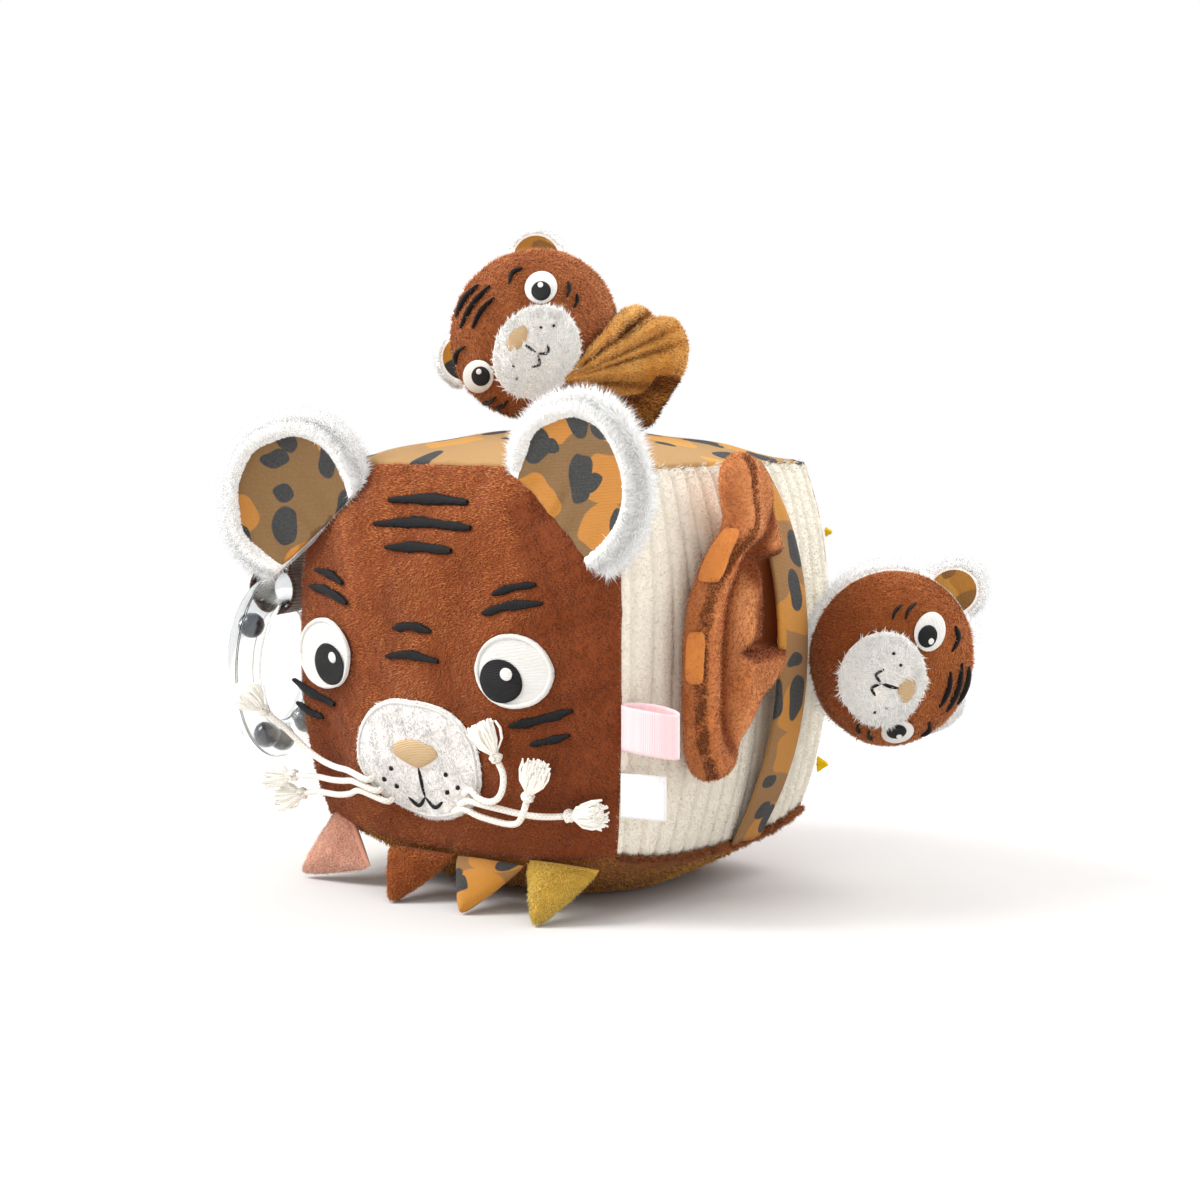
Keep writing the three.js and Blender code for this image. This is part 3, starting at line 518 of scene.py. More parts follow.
def fur(name, root, tip, glow=0.14):
    """Pale fibres, a little darker at the roots for the painted shade between them: the slight glow stands
    for the light that scatters through them.
    """
    f = Finish(name, Roughness=0.85, Sheen_Weight=0.5, Sheen_Roughness=0.4, Specular_IOR_Level=0.3,
               Emission_Color=(1, 0.985, 0.965, 1), Emission_Strength=glow)
    at = f.place()
    height = f.attribute("tip") + f.attribute("tone_and_shade") * 0.3
    f.feed(Base_Color=f.mix(height.step(0.0, 0.8), root, tip))
    f.bump(f.noise(at, 420, 3), 0.0007)
    return f.material


def printed_cotton(name, base, blotch, spot=(44, 47, 50)):
    """Woven cotton with a common cat print: ochre blotches and charcoal spots on tan."""
    f = Finish(name, Roughness=0.82, Sheen_Weight=0.1, Sheen_Roughness=0.5, Specular_IOR_Level=0.3)
    at = f.cloth()
    wander = f.noise(at, 52, 1, output="Color")
    bent = f.node("VectorMath", {"operation": "MULTIPLY_ADD"}, {0: wander, 1: (0.012, 0.012, 0), 2: at})

    def cells(scale, stretch, keep, edge, shift):
        """Rounded cells of a size and stretch, of which a share is kept."""
        soft = 0.012
        where = f.node("Mapping", None, {"Vector": bent, "Scale": stretch, "Location": shift})
        flat = {"voronoi_dimensions": "2D"}
        values = {"Vector": where, "Scale": scale, "Randomness": 0.75}
        distance = f.node("TexVoronoi", flat, values, "Distance")
        pick = f.node("SeparateColor", None, {"Color": f.node("TexVoronoi", flat, values, "Color")}, 0)
        return distance.step(edge + soft, edge - soft) * pick.step(keep, keep + 0.01)

    blots = cells(34, (0.8, 1.1, 1), 0.3, 0.37, (0.031, 0.017, 0))
    spots = cells(44, (1.05, 0.72, 1), 0.3, 0.25, (0.0, 0.0, 0))
    small = cells(50, (0.72, 1.2, 1), 0.6, 0.2, (0.05, 0.02, 0))
    print_colour = f.mix(spots.most(small), f.mix(blots, base, blotch), spot)
    wear = f.noise(at, 900, 3).step(0.3, 0.75)
    f.feed(Base_Color=f.mix(wear * 0.05, print_colour, (225, 205, 170)))
    f.bump(f.weave(at, 0.0011) + f.noise(at, 1500, 1) * 0.5, 0.00025)
    return f.material


def stitching(name, tint, dark):
    """Satin stitch: threads side by side across each stroke."""
    f = Finish(name, Roughness=0.6, Specular_IOR_Level=0.25)
    at = f.cloth()
    along = f.axis(at, 1)
    ragged = f.noise(at, 380, 2)
    threads = (along * (tau / 0.00055) + ragged * 5).wave() * 0.5 + 0.5
    f.feed(Base_Color=f.mix(threads * 0.8 + ragged * 0.2, dark, tint))
    f.bump(threads, 0.00025)
    return f.material


RUST = plush("rust_plush", (126, 60, 24), (202, 116, 56), (230, 152, 88))
CARAMEL = plush("caramel_plush", (130, 76, 22), (220, 150, 60), (242, 188, 104))
# A lighter copy of the caramel plush, painted light for the fan's top.
LIT_CARAMEL = plush("lit_caramel_plush", (146, 86, 28), (248, 184, 96), (255, 216, 142), dark=0.15)
CREAM = plush("cream_corduroy", (234, 226, 210), (252, 248, 239), (255, 253, 248), dark=0.25)
SEAM_FUZZ = plush("seam_fuzz", (100, 50, 20), (174, 100, 52), (198, 126, 74))
# A lighter copy of the rust plush, painted light for the top doll's face and the side doll's body.
LIT_RUST = plush("lit_rust_plush", (126, 62, 26), (218, 134, 76), (242, 172, 116), dark=0.2)
# A darker copy of the caramel plush, painted shade for the fan's underside.
SHADED_CARAMEL = plush("shaded_caramel_plush", (70, 34, 12), (146, 86, 36), (182, 118, 56))
PINK = plush("pink_plush", (206, 148, 124), (244, 196, 172), (250, 212, 192))
MUSTARD = plush("mustard_plush", (190, 150, 56), (244, 212, 106), (250, 226, 136))
YELLOW = plush("yellow_plush", (238, 196, 14), (252, 216, 34), (255, 228, 66))
ORANGE = plush("orange_plush", (208, 128, 62), (238, 164, 98), (246, 182, 120))
WHITE_FUR = fur("white_fur", (246, 243, 238), (255, 255, 254))
FLEECE = fur("white_fleece", (248, 240, 229), (255, 253, 249), glow=0.17)
MUZZLE_FLEECE = fur("muzzle_fleece", (240, 235, 230), (248, 245, 242), glow=0.03)
TASSEL = fur("tassel_cotton", (252, 248, 238), (255, 252, 246), glow=0.08)
PRINT = printed_cotton("printed_cotton", (158, 112, 58), (204, 136, 42))
TOP_PRINT = printed_cotton("top_printed_cotton", (190, 146, 88), (222, 160, 66))
EAR_PRINT = printed_cotton("ear_printed_cotton", (134, 98, 54), (200, 130, 42))
OCHRE = printed_cotton("ochre_print", (216, 158, 66), (196, 132, 48), spot=(150, 104, 48))
BLACK_STITCH = stitching("black_stitch", (30, 28, 30), (10, 10, 11))
WHITE_STITCH = stitching("white_stitch", (255, 254, 251), (232, 228, 220))
BEIGE_STITCH = stitching("beige_stitch", (230, 200, 156), (196, 160, 116))


def braided_cotton():
    f = Finish("braided_cotton", Roughness=0.75, Sheen_Weight=0.15, Specular_IOR_Level=0.3)
    at = f.cloth()
    around, along = f.axis(at, 0), f.axis(at, 1)
    turn, rise = tau / 0.00204, tau / 0.0019
    one = (around * turn + along * rise).wave()
    other = (around * turn - along * rise).wave()
    plait = one.most(other) * 0.5 + 0.5
    f.feed(Base_Color=f.mix(plait, (232, 223, 206), (255, 251, 242)))
    f.bump(plait + f.noise(at, 2400, 2) * 0.4, 0.00025)
    return f.material


def pink_satin():
    f = Finish("pink_satin", Roughness=0.32, Sheen_Weight=0.2, Specular_IOR_Level=0.55)
    across = f.axis(f.cloth(), 1)
    bands = (across * (tau / 0.0042)).wave().step(-0.2, 0.9)
    ribs = (across * (tau / 0.0009)).wave() * 0.5 + 0.5
    pink = f.mix(ribs * 0.15, (248, 208, 211), (242, 196, 200))
    f.feed(Base_Color=f.mix(bands * 0.14, pink, (253, 236, 236)))
    f.bump(ribs, 0.0001)
    return f.material


def label_cloth():
    f = Finish("label_cloth", Roughness=0.55, Sheen_Weight=0.15)
    at = f.place()
    f.feed(Base_Color=f.mix(f.noise(at, 300, 2), (230, 230, 228), (244, 244, 243)))
    f.bump(f.weave(at, 0.0009), 0.0001)
    return f.material


def strap_webbing():
    f = Finish("strap_webbing", Roughness=0.8, Sheen_Weight=0.2)
    at = f.cloth()
    ribs = (f.axis(at, 1) * (tau / 0.0016)).wave() * 0.5 + 0.5
    f.feed(Base_Color=f.mix(ribs * 0.7 + f.noise(at, 800, 2) * 0.3, (38, 20, 12), (88, 52, 34)))
    f.bump(ribs, 0.0003)
    return f.material


def clear_plastic():
    f = Finish("clear_plastic", Roughness=0.04, Transmission_Weight=1.0, IOR=1.47,
               Base_Color=(0.97, 0.985, 0.99, 1))
    f.bump(f.noise(f.place(), 60, 1), 0.0002)
    return f.material


def bead_plastic():
    f = Finish("bead_plastic", Roughness=0.18, Coat_Weight=0.4, Coat_Roughness=0.08)
    swirl = f.noise(f.place(), 160, 3)
    f.feed(Base_Color=f.mix(swirl.step(0.4, 0.7), (34, 42, 54), (78, 90, 104)))
    f.bump(swirl, 0.0001)
    return f.material


def wadding():
    f = Finish("wadding", Roughness=0.95, Sheen_Weight=0.2)
    lumps = f.noise(f.place(), 130, 4)
    f.feed(Base_Color=f.mix(lumps, (214, 210, 202), (246, 244, 240)))
    f.bump(lumps, 0.002)
    return f.material


CORD, SATIN, LABEL, STRAP = braided_cotton(), pink_satin(), label_cloth(), strap_webbing()
CLEAR, BEAD, WADDING = clear_plastic(), bead_plastic(), wadding()

# Pull cords: each comes out of the muzzle, follows its route and ends in a knot with a tassel.

CORD_DIAMETER = 2.6
KNOT = 5.6
TASSEL_THREADS, TASSEL_LONG, TASSEL_FLARE = 104, 13.6, 6.0
TASSEL_NECK = 1.3
GOLDEN_ANGLE = 2.399963
# Each cord's hole, in shares of the muzzle's half sizes, and its route.
CORD_ROUTES = {
    "right_upper": ((0.74, -0.34), [
        (20.6, -91.6, 50), (24.5, -91.6, 47.3), (29.5, -91.2, 46.2), (34.5, -91.8, 48.2),
        (37.6, -92.6, 52.8), (38.2, -93.2, 58.5), (36.6, -94, 62.6)]),
    "right_middle": ((0.64, -0.5), [
        (18.2, -89.8, 45.2), (24, -89.5, 44.4), (32, -88.4, 43.4), (40, -87, 42.3),
        (48, -85.8, 41.8), (55, -84.8, 42.2), (61, -84.4, 43)]),
    "right_lower": ((0.52, -0.62), [
        (15, -88.6, 41.4), (20.5, -87.6, 39.4), (27.5, -86.6, 38), (35, -86.4, 37.4),
        (41, -88, 38.6), (45.5, -90.4, 42.6), (48.3, -91.4, 48.3)]),
    "left_upper": ((-0.76, -0.3), [
        (-46.6, -89.2, 51), (-53, -88.4, 51.4), (-62, -87, 53), (-71, -86, 56.4),
        (-78.6, -86.6, 61.6), (-83.8, -89.4, 67), (-86.4, -94, 71.6)]),
    "left_middle": ((-0.68, -0.46), [
        (-44.4, -88.4, 46.6), (-51, -87, 45.8), (-59, -85.2, 45.2), (-67, -83.4, 45.2),
        (-74, -82.8, 45), (-80, -83.2, 44.6)]),
    "left_lower": ((-0.57, -0.6), [
        (-41.8, -87.4, 42.8), (-48, -85.6, 40.6), (-56, -83.6, 39), (-64, -82, 38.6),
        (-71.5, -80.6, 38.4), (-78.5, -80, 36.8)]),
}


def tube(name, points, radius):
    """A round tube along points, its rings carried along without twist."""
    heading = unit(np.gradient(points, axis=0))
    side = unit(np.cross(heading[0], UPWARD if abs(heading[0][2]) < 0.8 else np.array((1.0, 0, 0))))
    sides = []
    for h in heading:
        side = unit(side - h * (side @ h))
        sides.append(side)
    one = np.array(sides)
    other = np.cross(heading, one)
    angles = np.arange(12)[None, :, None] * tau / 12
    spokes = np.cos(angles) * one[:, None] + np.sin(angles) * other[:, None]
    return swept(name, points[:, None] + radius * spokes)


def tassel(cord_name, end, heading, rng):
    """A twisted knot with a spray of cut threads."""
    heading = unit(heading)
    side = unit(np.cross(heading, UPWARD if abs(heading[2]) < 0.9 else np.array((0.0, 1, 0))))
    lift = np.cross(heading, side)
    knot, p = ball(f"knot_{cord_name}", 28, 16)
    turn = np.arctan2(p[:, 1], p[:, 0])
    local = p * (KNOT / 2 * 0.94, KNOT / 2 * 0.94, KNOT * 0.4)
    local[:, :2] *= (1 + 0.1 * np.sin(3 * turn + 5 * p[:, 2]))[:, None]
    move_to(knot, end + heading * (KNOT * 0.4) + local @ np.array([side, lift, heading]))
    lay_uv(knot, np.stack([turn / tau * 16, p[:, 2] * 3], 1))
    knot.data.shade_smooth()
    dress(knot, CORD, "block", "cord_cotton", f"tassel_{cord_name}")
    points, faces = [], []
    for k in range(TASSEL_THREADS):
        angle = k * GOLDEN_ANGLE
        spread = sqrt((k + 0.5) / TASSEL_THREADS)
        out = side * cos(angle) + lift * sin(angle)
        start = end + heading * (KNOT * 0.7) + out * spread * TASSEL_NECK
        flare = TASSEL_FLARE * spread * rng.uniform(0.75, 1.1) - spread * TASSEL_NECK
        length = TASSEL_LONG * rng.uniform(0.8, 1.0)
        curl = (side * rng.normal() + lift * rng.normal()) * 1.1
        base = len(points)
        for t, wide in ((0, 0.5), (0.35, 0.66), (0.7, 0.62), (1, 0.44)):
            at = start + heading * (length * t) + out * flare * t**0.7 + curl * sin(pi * t)
            for s in range(4):
                points.append(at + (side * cos(s * pi / 2) + lift * sin(s * pi / 2)) * wide)
        for r in range(3):
            for s in range(4):
                a, b = base + r * 4 + s, base + r * 4 + (s + 1) % 4
                faces.append((a, b, b + 4, a + 4))
        faces += [(base + 3, base + 2, base + 1, base), (base + 12, base + 13, base + 14, base + 15)]
    threads = mesh_piece(f"threads_{cord_name}", np.array(points), faces)
    lay_uv(threads, np.array(points)[:, [0, 2]])
    outward(threads)
    threads.data.shade_smooth()
    dress(threads, TASSEL, "block", "cord_cotton")
    return [knot, threads]


for cord_name, ((u_share, v_share), route) in CORD_ROUTES.items():
    at = FACE_X + u_share * MUZZLE_WIDE / 2, MUZZLE_HEIGHT + v_share * MUZZLE_TALL / 2
    exits = [on_front(*at, off) for off in (1.0, 2 + CORD_DIAMETER)]
    path = through(np.array([*exits, *route]), 30)
    cord = tube(f"cord_{cord_name}", path, CORD_DIAMETER / 2)
    dress(cord, CORD, "block", "cord_cotton", f"whisker_{cord_name}")
    ends = tassel(cord_name, path[-1], path[-1] - path[-2], np.random.default_rng(len(cord_name)))
    tuple(path[0] * MM)
    [tuple(p * MM) for p in path]

# Pile and fur


def pick_places(cloth, count, rng, keep, marks):
    """Random places spread evenly over a cloth, with its normals and marks there."""
    mesh = cloth.data
    mesh.calc_loop_triangles()
    tris = np.empty(len(mesh.loop_triangles) * 3, np.int32)
    mesh.loop_triangles.foreach_get("vertices", tris)
    tris = tris.reshape(-1, 3)
    places = corners(cloth) / MM
    normals = np.empty(len(places) * 3, np.float32)
    mesh.vertex_normals.foreach_get("vector", normals)
    normals = normals.reshape(-1, 3)
    a, b, c = (places[tris[:, k]] for k in range(3))
    area = np.linalg.norm(np.cross(b - a, c - a), axis=1) / 2
    if keep is not None:
        spots = marks[tris].mean(1) if marks is not None else None
        area = area * keep((a + b + c) / 3, unit(normals[tris].mean(1)), spots, 4.0)
    total = np.cumsum(area)
    picks = np.searchsorted(total, (np.arange(count) + rng.random(count)) / count * total[-1])
    chosen = tris[np.minimum(picks, len(tris) - 1)]
    r, s = np.sqrt(rng.random(count)), rng.random(count)
    shares = np.stack([1 - r, r * (1 - s), r * s], 1)[..., None]
    roots = (places[chosen] * shares).sum(1)
    up = unit((normals[chosen] * shares).sum(1))
    if keep is not None:
        spots = (marks[chosen] * shares).sum(1) if marks is not None else None
        stays = keep(roots, up, spots, 0.0)
        roots, up = roots[stays], up[stays]
    return roots, up


def bake_cells(roots):
    """A square cell of the bake map for each strand, neighbours near each other."""
    count = len(roots)
    order = np.argsort(roots[:, 2], kind="stable")
    side = int(np.ceil(sqrt(count)))
    cells = np.empty((count, 2), int)
    for row in range(0, count, side):
        line = order[row:row + side]
        line = line[np.argsort(roots[line, 0] + roots[line, 1], kind="stable")]
        cells[line] = np.stack([np.arange(len(line)), np.full(len(line), row // side)], 1)
    return cells, side


STRAND_FACES = np.array([(0, 2, 1), (0, 1, 3), (1, 2, 3), (2, 0, 3)])
STRAND_CELL = np.array([(0.1, 0.1), (0.5, 0.02), (0.9, 0.1), (0.5, 0.95)])
ROOT_DEPTH = 0.2


def grow(name, cloth, dressing, count, length, width, comb, lean, ruffle, seed,
         keep=None, marks=None, shaping=None, shade=None, tufts=0.5):
    """Strands on a cloth: small closed spikes, leaning the way that they are combed, in small tufts.
    comb(points, normals) gives the way. keep(points, normals, marks, slack) tells which strands stay,
    with some slack for whole faces. shaping(points) scales lengths and shade(points) gives painted shade that
    darkens them."""
    rng = np.random.default_rng(seed)
    roots, up = pick_places(cloth, count, rng, keep, marks)
    count = len(roots)
    way = comb(roots, up)
    way = unit(way - up * (way * up).sum(1)[:, None])
    across = np.cross(up, way)
    gusts = grain(roots, 14, seed)[:, None] * 0.55
    bunch = grain(roots, 2.6, seed + 5)[:, None] * tufts
    bunch_up = grain(roots, 3.4, seed + 6)[:, None] * tufts
    heading = unit(up * (1 - lean) * (1 + 0.8 * bunch_up) + way * lean
                   + across * (gusts * lean + 0.5 * bunch) + rng.normal(size=(count, 3)) * ruffle)
    outwards = (heading * up).sum(1)[:, None]
    heading = unit(heading + up * np.maximum(0.08 - outwards, 0))
    one = unit(np.cross(heading, rng.normal(size=(count, 3))))
    other = np.cross(heading, one)
    reach = length * rng.uniform(0.72, 1.12, count) * (shaping(roots) if shaping else 1)
    reach = reach * (1 + 0.2 * bunch_up[:, 0])
    wide = (width / 2 * rng.uniform(0.8, 1.2, count))[:, None]
    foot = roots - up * ROOT_DEPTH
    layers = [foot + (one * cos(k * tau / 3) + other * sin(k * tau / 3)) * wide for k in range(3)]
    points = np.stack([*layers, foot + heading * reach[:, None]], 1)
    faces = (np.arange(count)[:, None, None] * 4 + STRAND_FACES[None]).reshape(-1, 3)
    piece = mesh_piece(name, points.reshape(-1, 3), faces)
    piece.data.shade_smooth()
    cells, side = bake_cells(roots)
    bake = (cells[:, None] + STRAND_CELL[None]) / side
    layer = piece.data.uv_layers.new(name="OFBake")
    layer.uv.foreach_set("vector", bake[:, STRAND_FACES.ravel()].astype(np.float32).ravel())
    mark(piece, "tip", np.tile((0.0, 0.0, 0.0, 1.0), count))
    # Each strand's random tone, lighter in raised tufts, less the painted shade that shade gives.
    tone_and_shade = rng.random(count) + 0.35 * bunch_up[:, 0] - 1.5 * (shade(roots) if shade else 0)
    mark(piece, "tone_and_shade", np.repeat(tone_and_shade, 4))
    dress(piece, *dressing)


def lighten(cloth, share, shade=None):
    """Gives the cloth under a pile part of the pile's colour, and the pile's painted shade where shade is
    given.
    """
    points = corners(cloth) / MM
    mark(cloth, "tip", np.full(len(points), share))
    mark(cloth, "tone_and_shade", -1.5 * shade(points) if shade else np.zeros(len(points)))


def steady(*direction):
    """Combs every strand one way."""
    return lambda points, normals: np.broadcast_to(np.array(direction, float), points.shape)


# Stitched strokes, flat patches, and the places that pile leaves bare for them


def stroke(points, width, count=34):
    """A tapered stroke through 2-D points: its spine and its half widths."""
    spine = through(np.array([(*p, 0.0) for p in points]), count)[:, :2]
    t = np.linspace(0, 1, count)
    uneven = 1 + 0.14 * np.sin(t * 11 + points[0][0]) * (width > 2.5)
    return spine, width / 2 * np.sin(pi * np.clip(t, 0.02, 0.98)) ** 0.32 * uneven


def arch(x, height, half, drop, top, width, count=34):
    """A stroke that arches over x."""
    return stroke([(x - half, height - drop), (x, height + top), (x + half, height - drop)], width, count)


def stitched(name, strokes, place, low, high, seed=3):
    """Raised satin stitch along strokes, laid on a surface."""
    rng = np.random.default_rng(seed)
    flat, faces, cloth = [], [], []
    sides = 10
    for spine, half in strokes:
        heading = unit(np.gradient(spine, axis=0))
        side = np.stack([-heading[:, 1], heading[:, 0]], 1)
        run = run_along(spine)
        base = len(flat)
        for i, (at, out, wide) in enumerate(zip(spine, side, half)):
            ragged = rng.uniform(0.86, 1.1, 2)
            for s in range(sides):
                angle = s * tau / sides
                reach = cos(angle) * max(wide, 0.12) * ragged[0 if cos(angle) > 0 else 1]
                rise = 0 if sin(angle) < -0.01 else (high - low) * sin(angle) ** 0.6 * min(1, wide / 0.8)
                flat.append((at[0] + out[0] * reach, at[1] + out[1] * reach, low + rise))
                cloth.append((reach, run[i]))
        for r in range(len(spine) - 1):
            for s in range(sides):
                a, b = base + r * sides + s, base + r * sides + (s + 1) % sides
                faces += [(a, b, b + sides), (a, b + sides, a + sides)]
        for first, flip in ((base, True), (base + (len(spine) - 1) * sides, False)):
            for s in range(1, sides - 1):
                fan = (first, first + s, first + s + 1)
                faces.append(fan[::-1] if flip else fan)
    piece = mesh_piece(name, place(*np.array(flat).T), faces)
    lay_uv(piece, np.array(cloth))
    outward(piece)
    return smooth(piece, 50)


def oval_band(x, y, wide, tall, width):
    """A closed band of stitching round an oval."""
    turn = np.linspace(0, tau, 72)
    return np.stack([x + wide / 2 * np.cos(turn), y + tall / 2 * np.sin(turn)], 1), np.full(72, width / 2)


def pillow(name, place, wide, tall, floor, thickness, outline=None, segments=56, rings=20):
    """An oval cloth shape with a rounded edge, lying on a surface."""
    piece, p = ball(name, segments, rings)
    share, turn = polar(p)
    reach = outline(turn) if outline else 1.0
    x, y = share * np.cos(turn) * wide / 2 * reach, share * np.sin(turn) * tall / 2 * reach
    dome = np.sqrt(np.maximum(1 - share**4, 0))
    level = floor + thickness * np.where(p[:, 2] > 0, 0.4 + 0.6 * dome, 0.4 - 0.4 * dome)
    move_to(piece, place(x, y, level))
    lay_uv(piece, np.stack([x, y], 1))
    piece.data.shade_smooth()
    return piece


def bare_places(strokes, ovals):
    """Tells which places on a face are free of stitching and patches."""
    def keep(points, normals, spots, slack):
        stays = np.ones(len(points), bool)
        for x, y, wide, tall in ovals:
            inside = ((spots[:, 0] - x) / (wide / 2)) ** 2 + ((spots[:, 1] - y) / (tall / 2)) ** 2
            stays &= inside > (0.93 - 0.25 * (slack > 0)) ** 2
        if not slack:
            for spine, half in strokes:
                near = np.abs(spots[:, 0] - spine[:, 0].mean()) < np.ptp(spine[:, 0]) / 2 + 5
                if near.any():
                    gap = np.linalg.norm(spots[near][:, None] - spine[None], axis=2) - half[None]
                    stays[near] &= gap.min(1) > 0.25
        return stays
    return keep


FACE_STROKES = []
for high, half, drop in ((136, 20, 1.0), (127, 25, 1.4), (117.5, 18, 0.8)):
    FACE_STROKES.append(arch(FACE_X, high, half, drop, 0, 4.2))
for high, half in ((86, 10), (74.5, 14)):
    FACE_STROKES.append(arch(FACE_X, high, half, 1, 0.6, 3.8))
for aside, width in (
    ([(35, 93.5), (46, 97), (59, 98.5)], 4.0),
    ([(39, 101), (47, 104), (56, 105.5)], 3.4),
    ([(46, 50.5), (57, 53.5), (69, 58)], 3.8),
    ([(54, 44), (61, 46), (68, 48.5)], 3.2),
):
    FACE_STROKES += [stroke([(FACE_X + sign * x, y) for x, y in aside], width) for sign in (1, -1)]

# Panels


def panel(side, columns, rows, finish, slot, relief=None, roll=2.6, tuck=0.5, lump=0.6, pile=None):
    """A sewn panel: a grid laid on the block, rolled in and slightly puckered at its seams."""
    face, wide, tall = SIDES[side]
    name = f"{side}_cloth"
    cloth = primitive("grid", name, x_subdivisions=columns, y_subdivisions=rows, size=2)
    u, v = corners(cloth)[:, :2].T
    p, q = u * (wide - SEAM_GAP), v * (tall - SEAM_GAP)
    edge = np.minimum(wide - np.abs(p), tall - np.abs(q))
    along = np.where(wide - np.abs(p) < tall - np.abs(q), q, p)
    seed = len(name)

    def surface(a, b):
        return front(a, b + HALF[2]) if side == "front" else block_point(*face(a / wide, b / tall))

    inset = np.clip(roll - edge, 0, roll)
    off = -(roll - np.sqrt(np.maximum(roll**2 - inset**2, 0)))
    pucker = np.sin(along * 0.55 + 2.5 * np.sin(along * 0.13 + seed)) * np.exp(-edge / 7)
    off = off - tuck * (0.5 + 0.5 * pucker) * np.exp(-edge / 12) * (edge > 0.5)
    off = off + lump * grain(surface(p, q), 30, seed) * np.clip(edge / 14, 0, 1)
    drawn = np.sin(along * 0.21 + 2 * np.sin(along * 0.06 + seed)) * np.exp(-edge / 16)
    off = off - lump * 0.9 * np.maximum(drawn * np.clip(edge / 5, 0, 1), 0)
    if relief is not None:
        off = off + relief(p)
    places = np.stack([p, q], 1)
    move_to(cloth, raised(surface, p, q, off))
    lay_uv(cloth, places)
    dress(cloth, finish, "block", slot, f"{side}_panel")
    if pile:
        grow(f"{side}_pile", cloth, (finish, "block", slot), marks=places, **pile)
    finish_with(cloth, "SOLIDIFY", thickness=2.5 * MM, offset=-1)
    cloth.data.shade_smooth()


def across_rib(p):
    """From -1 to 1 between the two grooves of the rib at each place."""
    return (p / RIB_PITCH) % 1.0 * 2 - 1


def ribs(p):
    """Wide rounded cords up the panel, with a narrow groove between each two."""
    return -RIB_DEPTH * (1 - np.sqrt(np.maximum(1 - np.abs(across_rib(p)) ** 3, 0)))


def on_ribs(points, normals, spots, slack):
    """Leaves the grooves between the ribs bare."""
    return np.abs(across_rib(spots[:, 0])) < 0.9 + 0.1 * (slack > 0)


def longer_at_top_seam(points):
    return 1 + 1.2 * np.clip(1 - (TOP_LEVEL - points[:, 2]) / 5.0, 0, 1) ** 0.7


def off_right_seam(points, normals, spots, slack):
    """Keeps the back's pile from showing past the cream side."""
    return points[:, 0] < HALF[0] - 4.5 + slack


def clear_of_floor(points):
    return np.clip((points[:, 2] + 0.4) / 3.2, 0.06, 1)


def face_keep(points, normals, spots, slack):
    """Leaves the eyes, the muzzle and the stripes bare."""
    here = spots + np.array((0.0, HALF[2]))
    eyes = [(FACE_X + s * EYE_SPREAD, EYE_HEIGHT, *EYE_SIZE) for s in (-1, 1)]
    muzzle_oval = (FACE_X, MUZZLE_HEIGHT, MUZZLE_WIDE, MUZZLE_TALL)
    return bare_places(FACE_STROKES, [*eyes, muzzle_oval])(points, normals, here, slack)


def face_shade(points):
    """Painted shade on the face's pile: darker towards its right part, which turns from the light, a little
    darker towards its left edge, and darker in the creases; the random patches stand for pile brushed the
    dark way.
    """
    x, height = points[:, 0], points[:, 2] - SEAM_LIFT
    drift = 9 * grain(points, 26, 18)
    patches = 0.3 * np.clip(grain(points, 17, 19), 0, 1)
    dark = 0.55 * ramp(x + drift, 26, 62) + 0.25 * ramp(-x + drift, 52, 74) + patches
    return dark + 0.35 * ramp(x, 44, 80) * ramp(height, 0, 60) + 0.25 * np.clip(-face_lumps(x, height), 0, 2)


panel("front", 110, 110, RUST, "rust_plush", lump=0.4, pile=dict(
    count=47000, comb=steady(-1, 0, -0.45), keep=face_keep, seed=11, shade=face_shade,
    length=1.9, width=0.4, lean=0.62, ruffle=0.14))
panel("back", 60, 60, RUST, "rust_plush", pile=dict(
    count=14000, comb=steady(1, 0, -0.45), seed=12, keep=off_right_seam,
    length=2.2, width=0.6, lean=0.6, ruffle=0.2))
for cream_side, strands in (("right", 46000), ("left", 19000)):
    panel(cream_side, 180, 60, CREAM, "cream_corduroy", relief=ribs, roll=3.2, pile=dict(
        count=strands, comb=steady(0, 0, -1), seed=13, keep=on_ribs, shaping=longer_at_top_seam,
        length=1.3, width=0.36, lean=0.35, ruffle=0.35))
panel("top", 80, 76, TOP_PRINT, "spotted_cloth", roll=2.0, tuck=0.9)
panel("bottom", 60, 56, CARAMEL, "caramel_plush", pile=dict(
    count=14000, comb=steady(1, 0, 0), seed=15, shaping=clear_of_floor,
    length=2.4, width=0.6, lean=0.5, ruffle=0.3))

seam_line = block_point(1, np.linspace(-0.97, 0.97, 60), -1) + (0.2, 0, -0.2)
lower_seam = tube("lower_seam", seam_line, 0.8)
dress(lower_seam, SEAM_FUZZ, "block", "caramel_plush")
grow("lower_seam_fuzz", lower_seam, (SEAM_FUZZ, "block", "caramel_plush"), 6000, 2.2, 0.44,
     steady(0.4, 0, -1), lean=0.3, ruffle=0.6, seed=16, tufts=1.0)

stuffing = primitive("cube", "stuffing", size=2)
edit(stuffing, subdivide=dict(number_cuts=27))
shares = corners(stuffing)
move_to(stuffing, block_point(*shares.T, 5.4 - 0.8 * grain(shares * 75, 22, 5)))
stuffing.data.shade_smooth()
dress(stuffing, WADDING, "block", "filling", "filling_core")

# The face


def face_place(x, height):
    return lambda u, v, off: on_front(x + u, height + v, off)


def muzzle_outline(turn):
    """The muzzle's reach in each direction: full at its upper corners, flatter below."""
    above, below = np.clip(np.sin(turn), 0, 1), np.clip(-np.sin(turn), 0, 1)
    return 0.97 + 0.06 * above * np.abs(np.sin(2 * turn)) - 0.13 * below**2


def nose_outline(turn):
    return 1 - 0.16 * np.clip(-np.sin(turn), 0, 1) * np.abs(np.cos(turn)) * 2


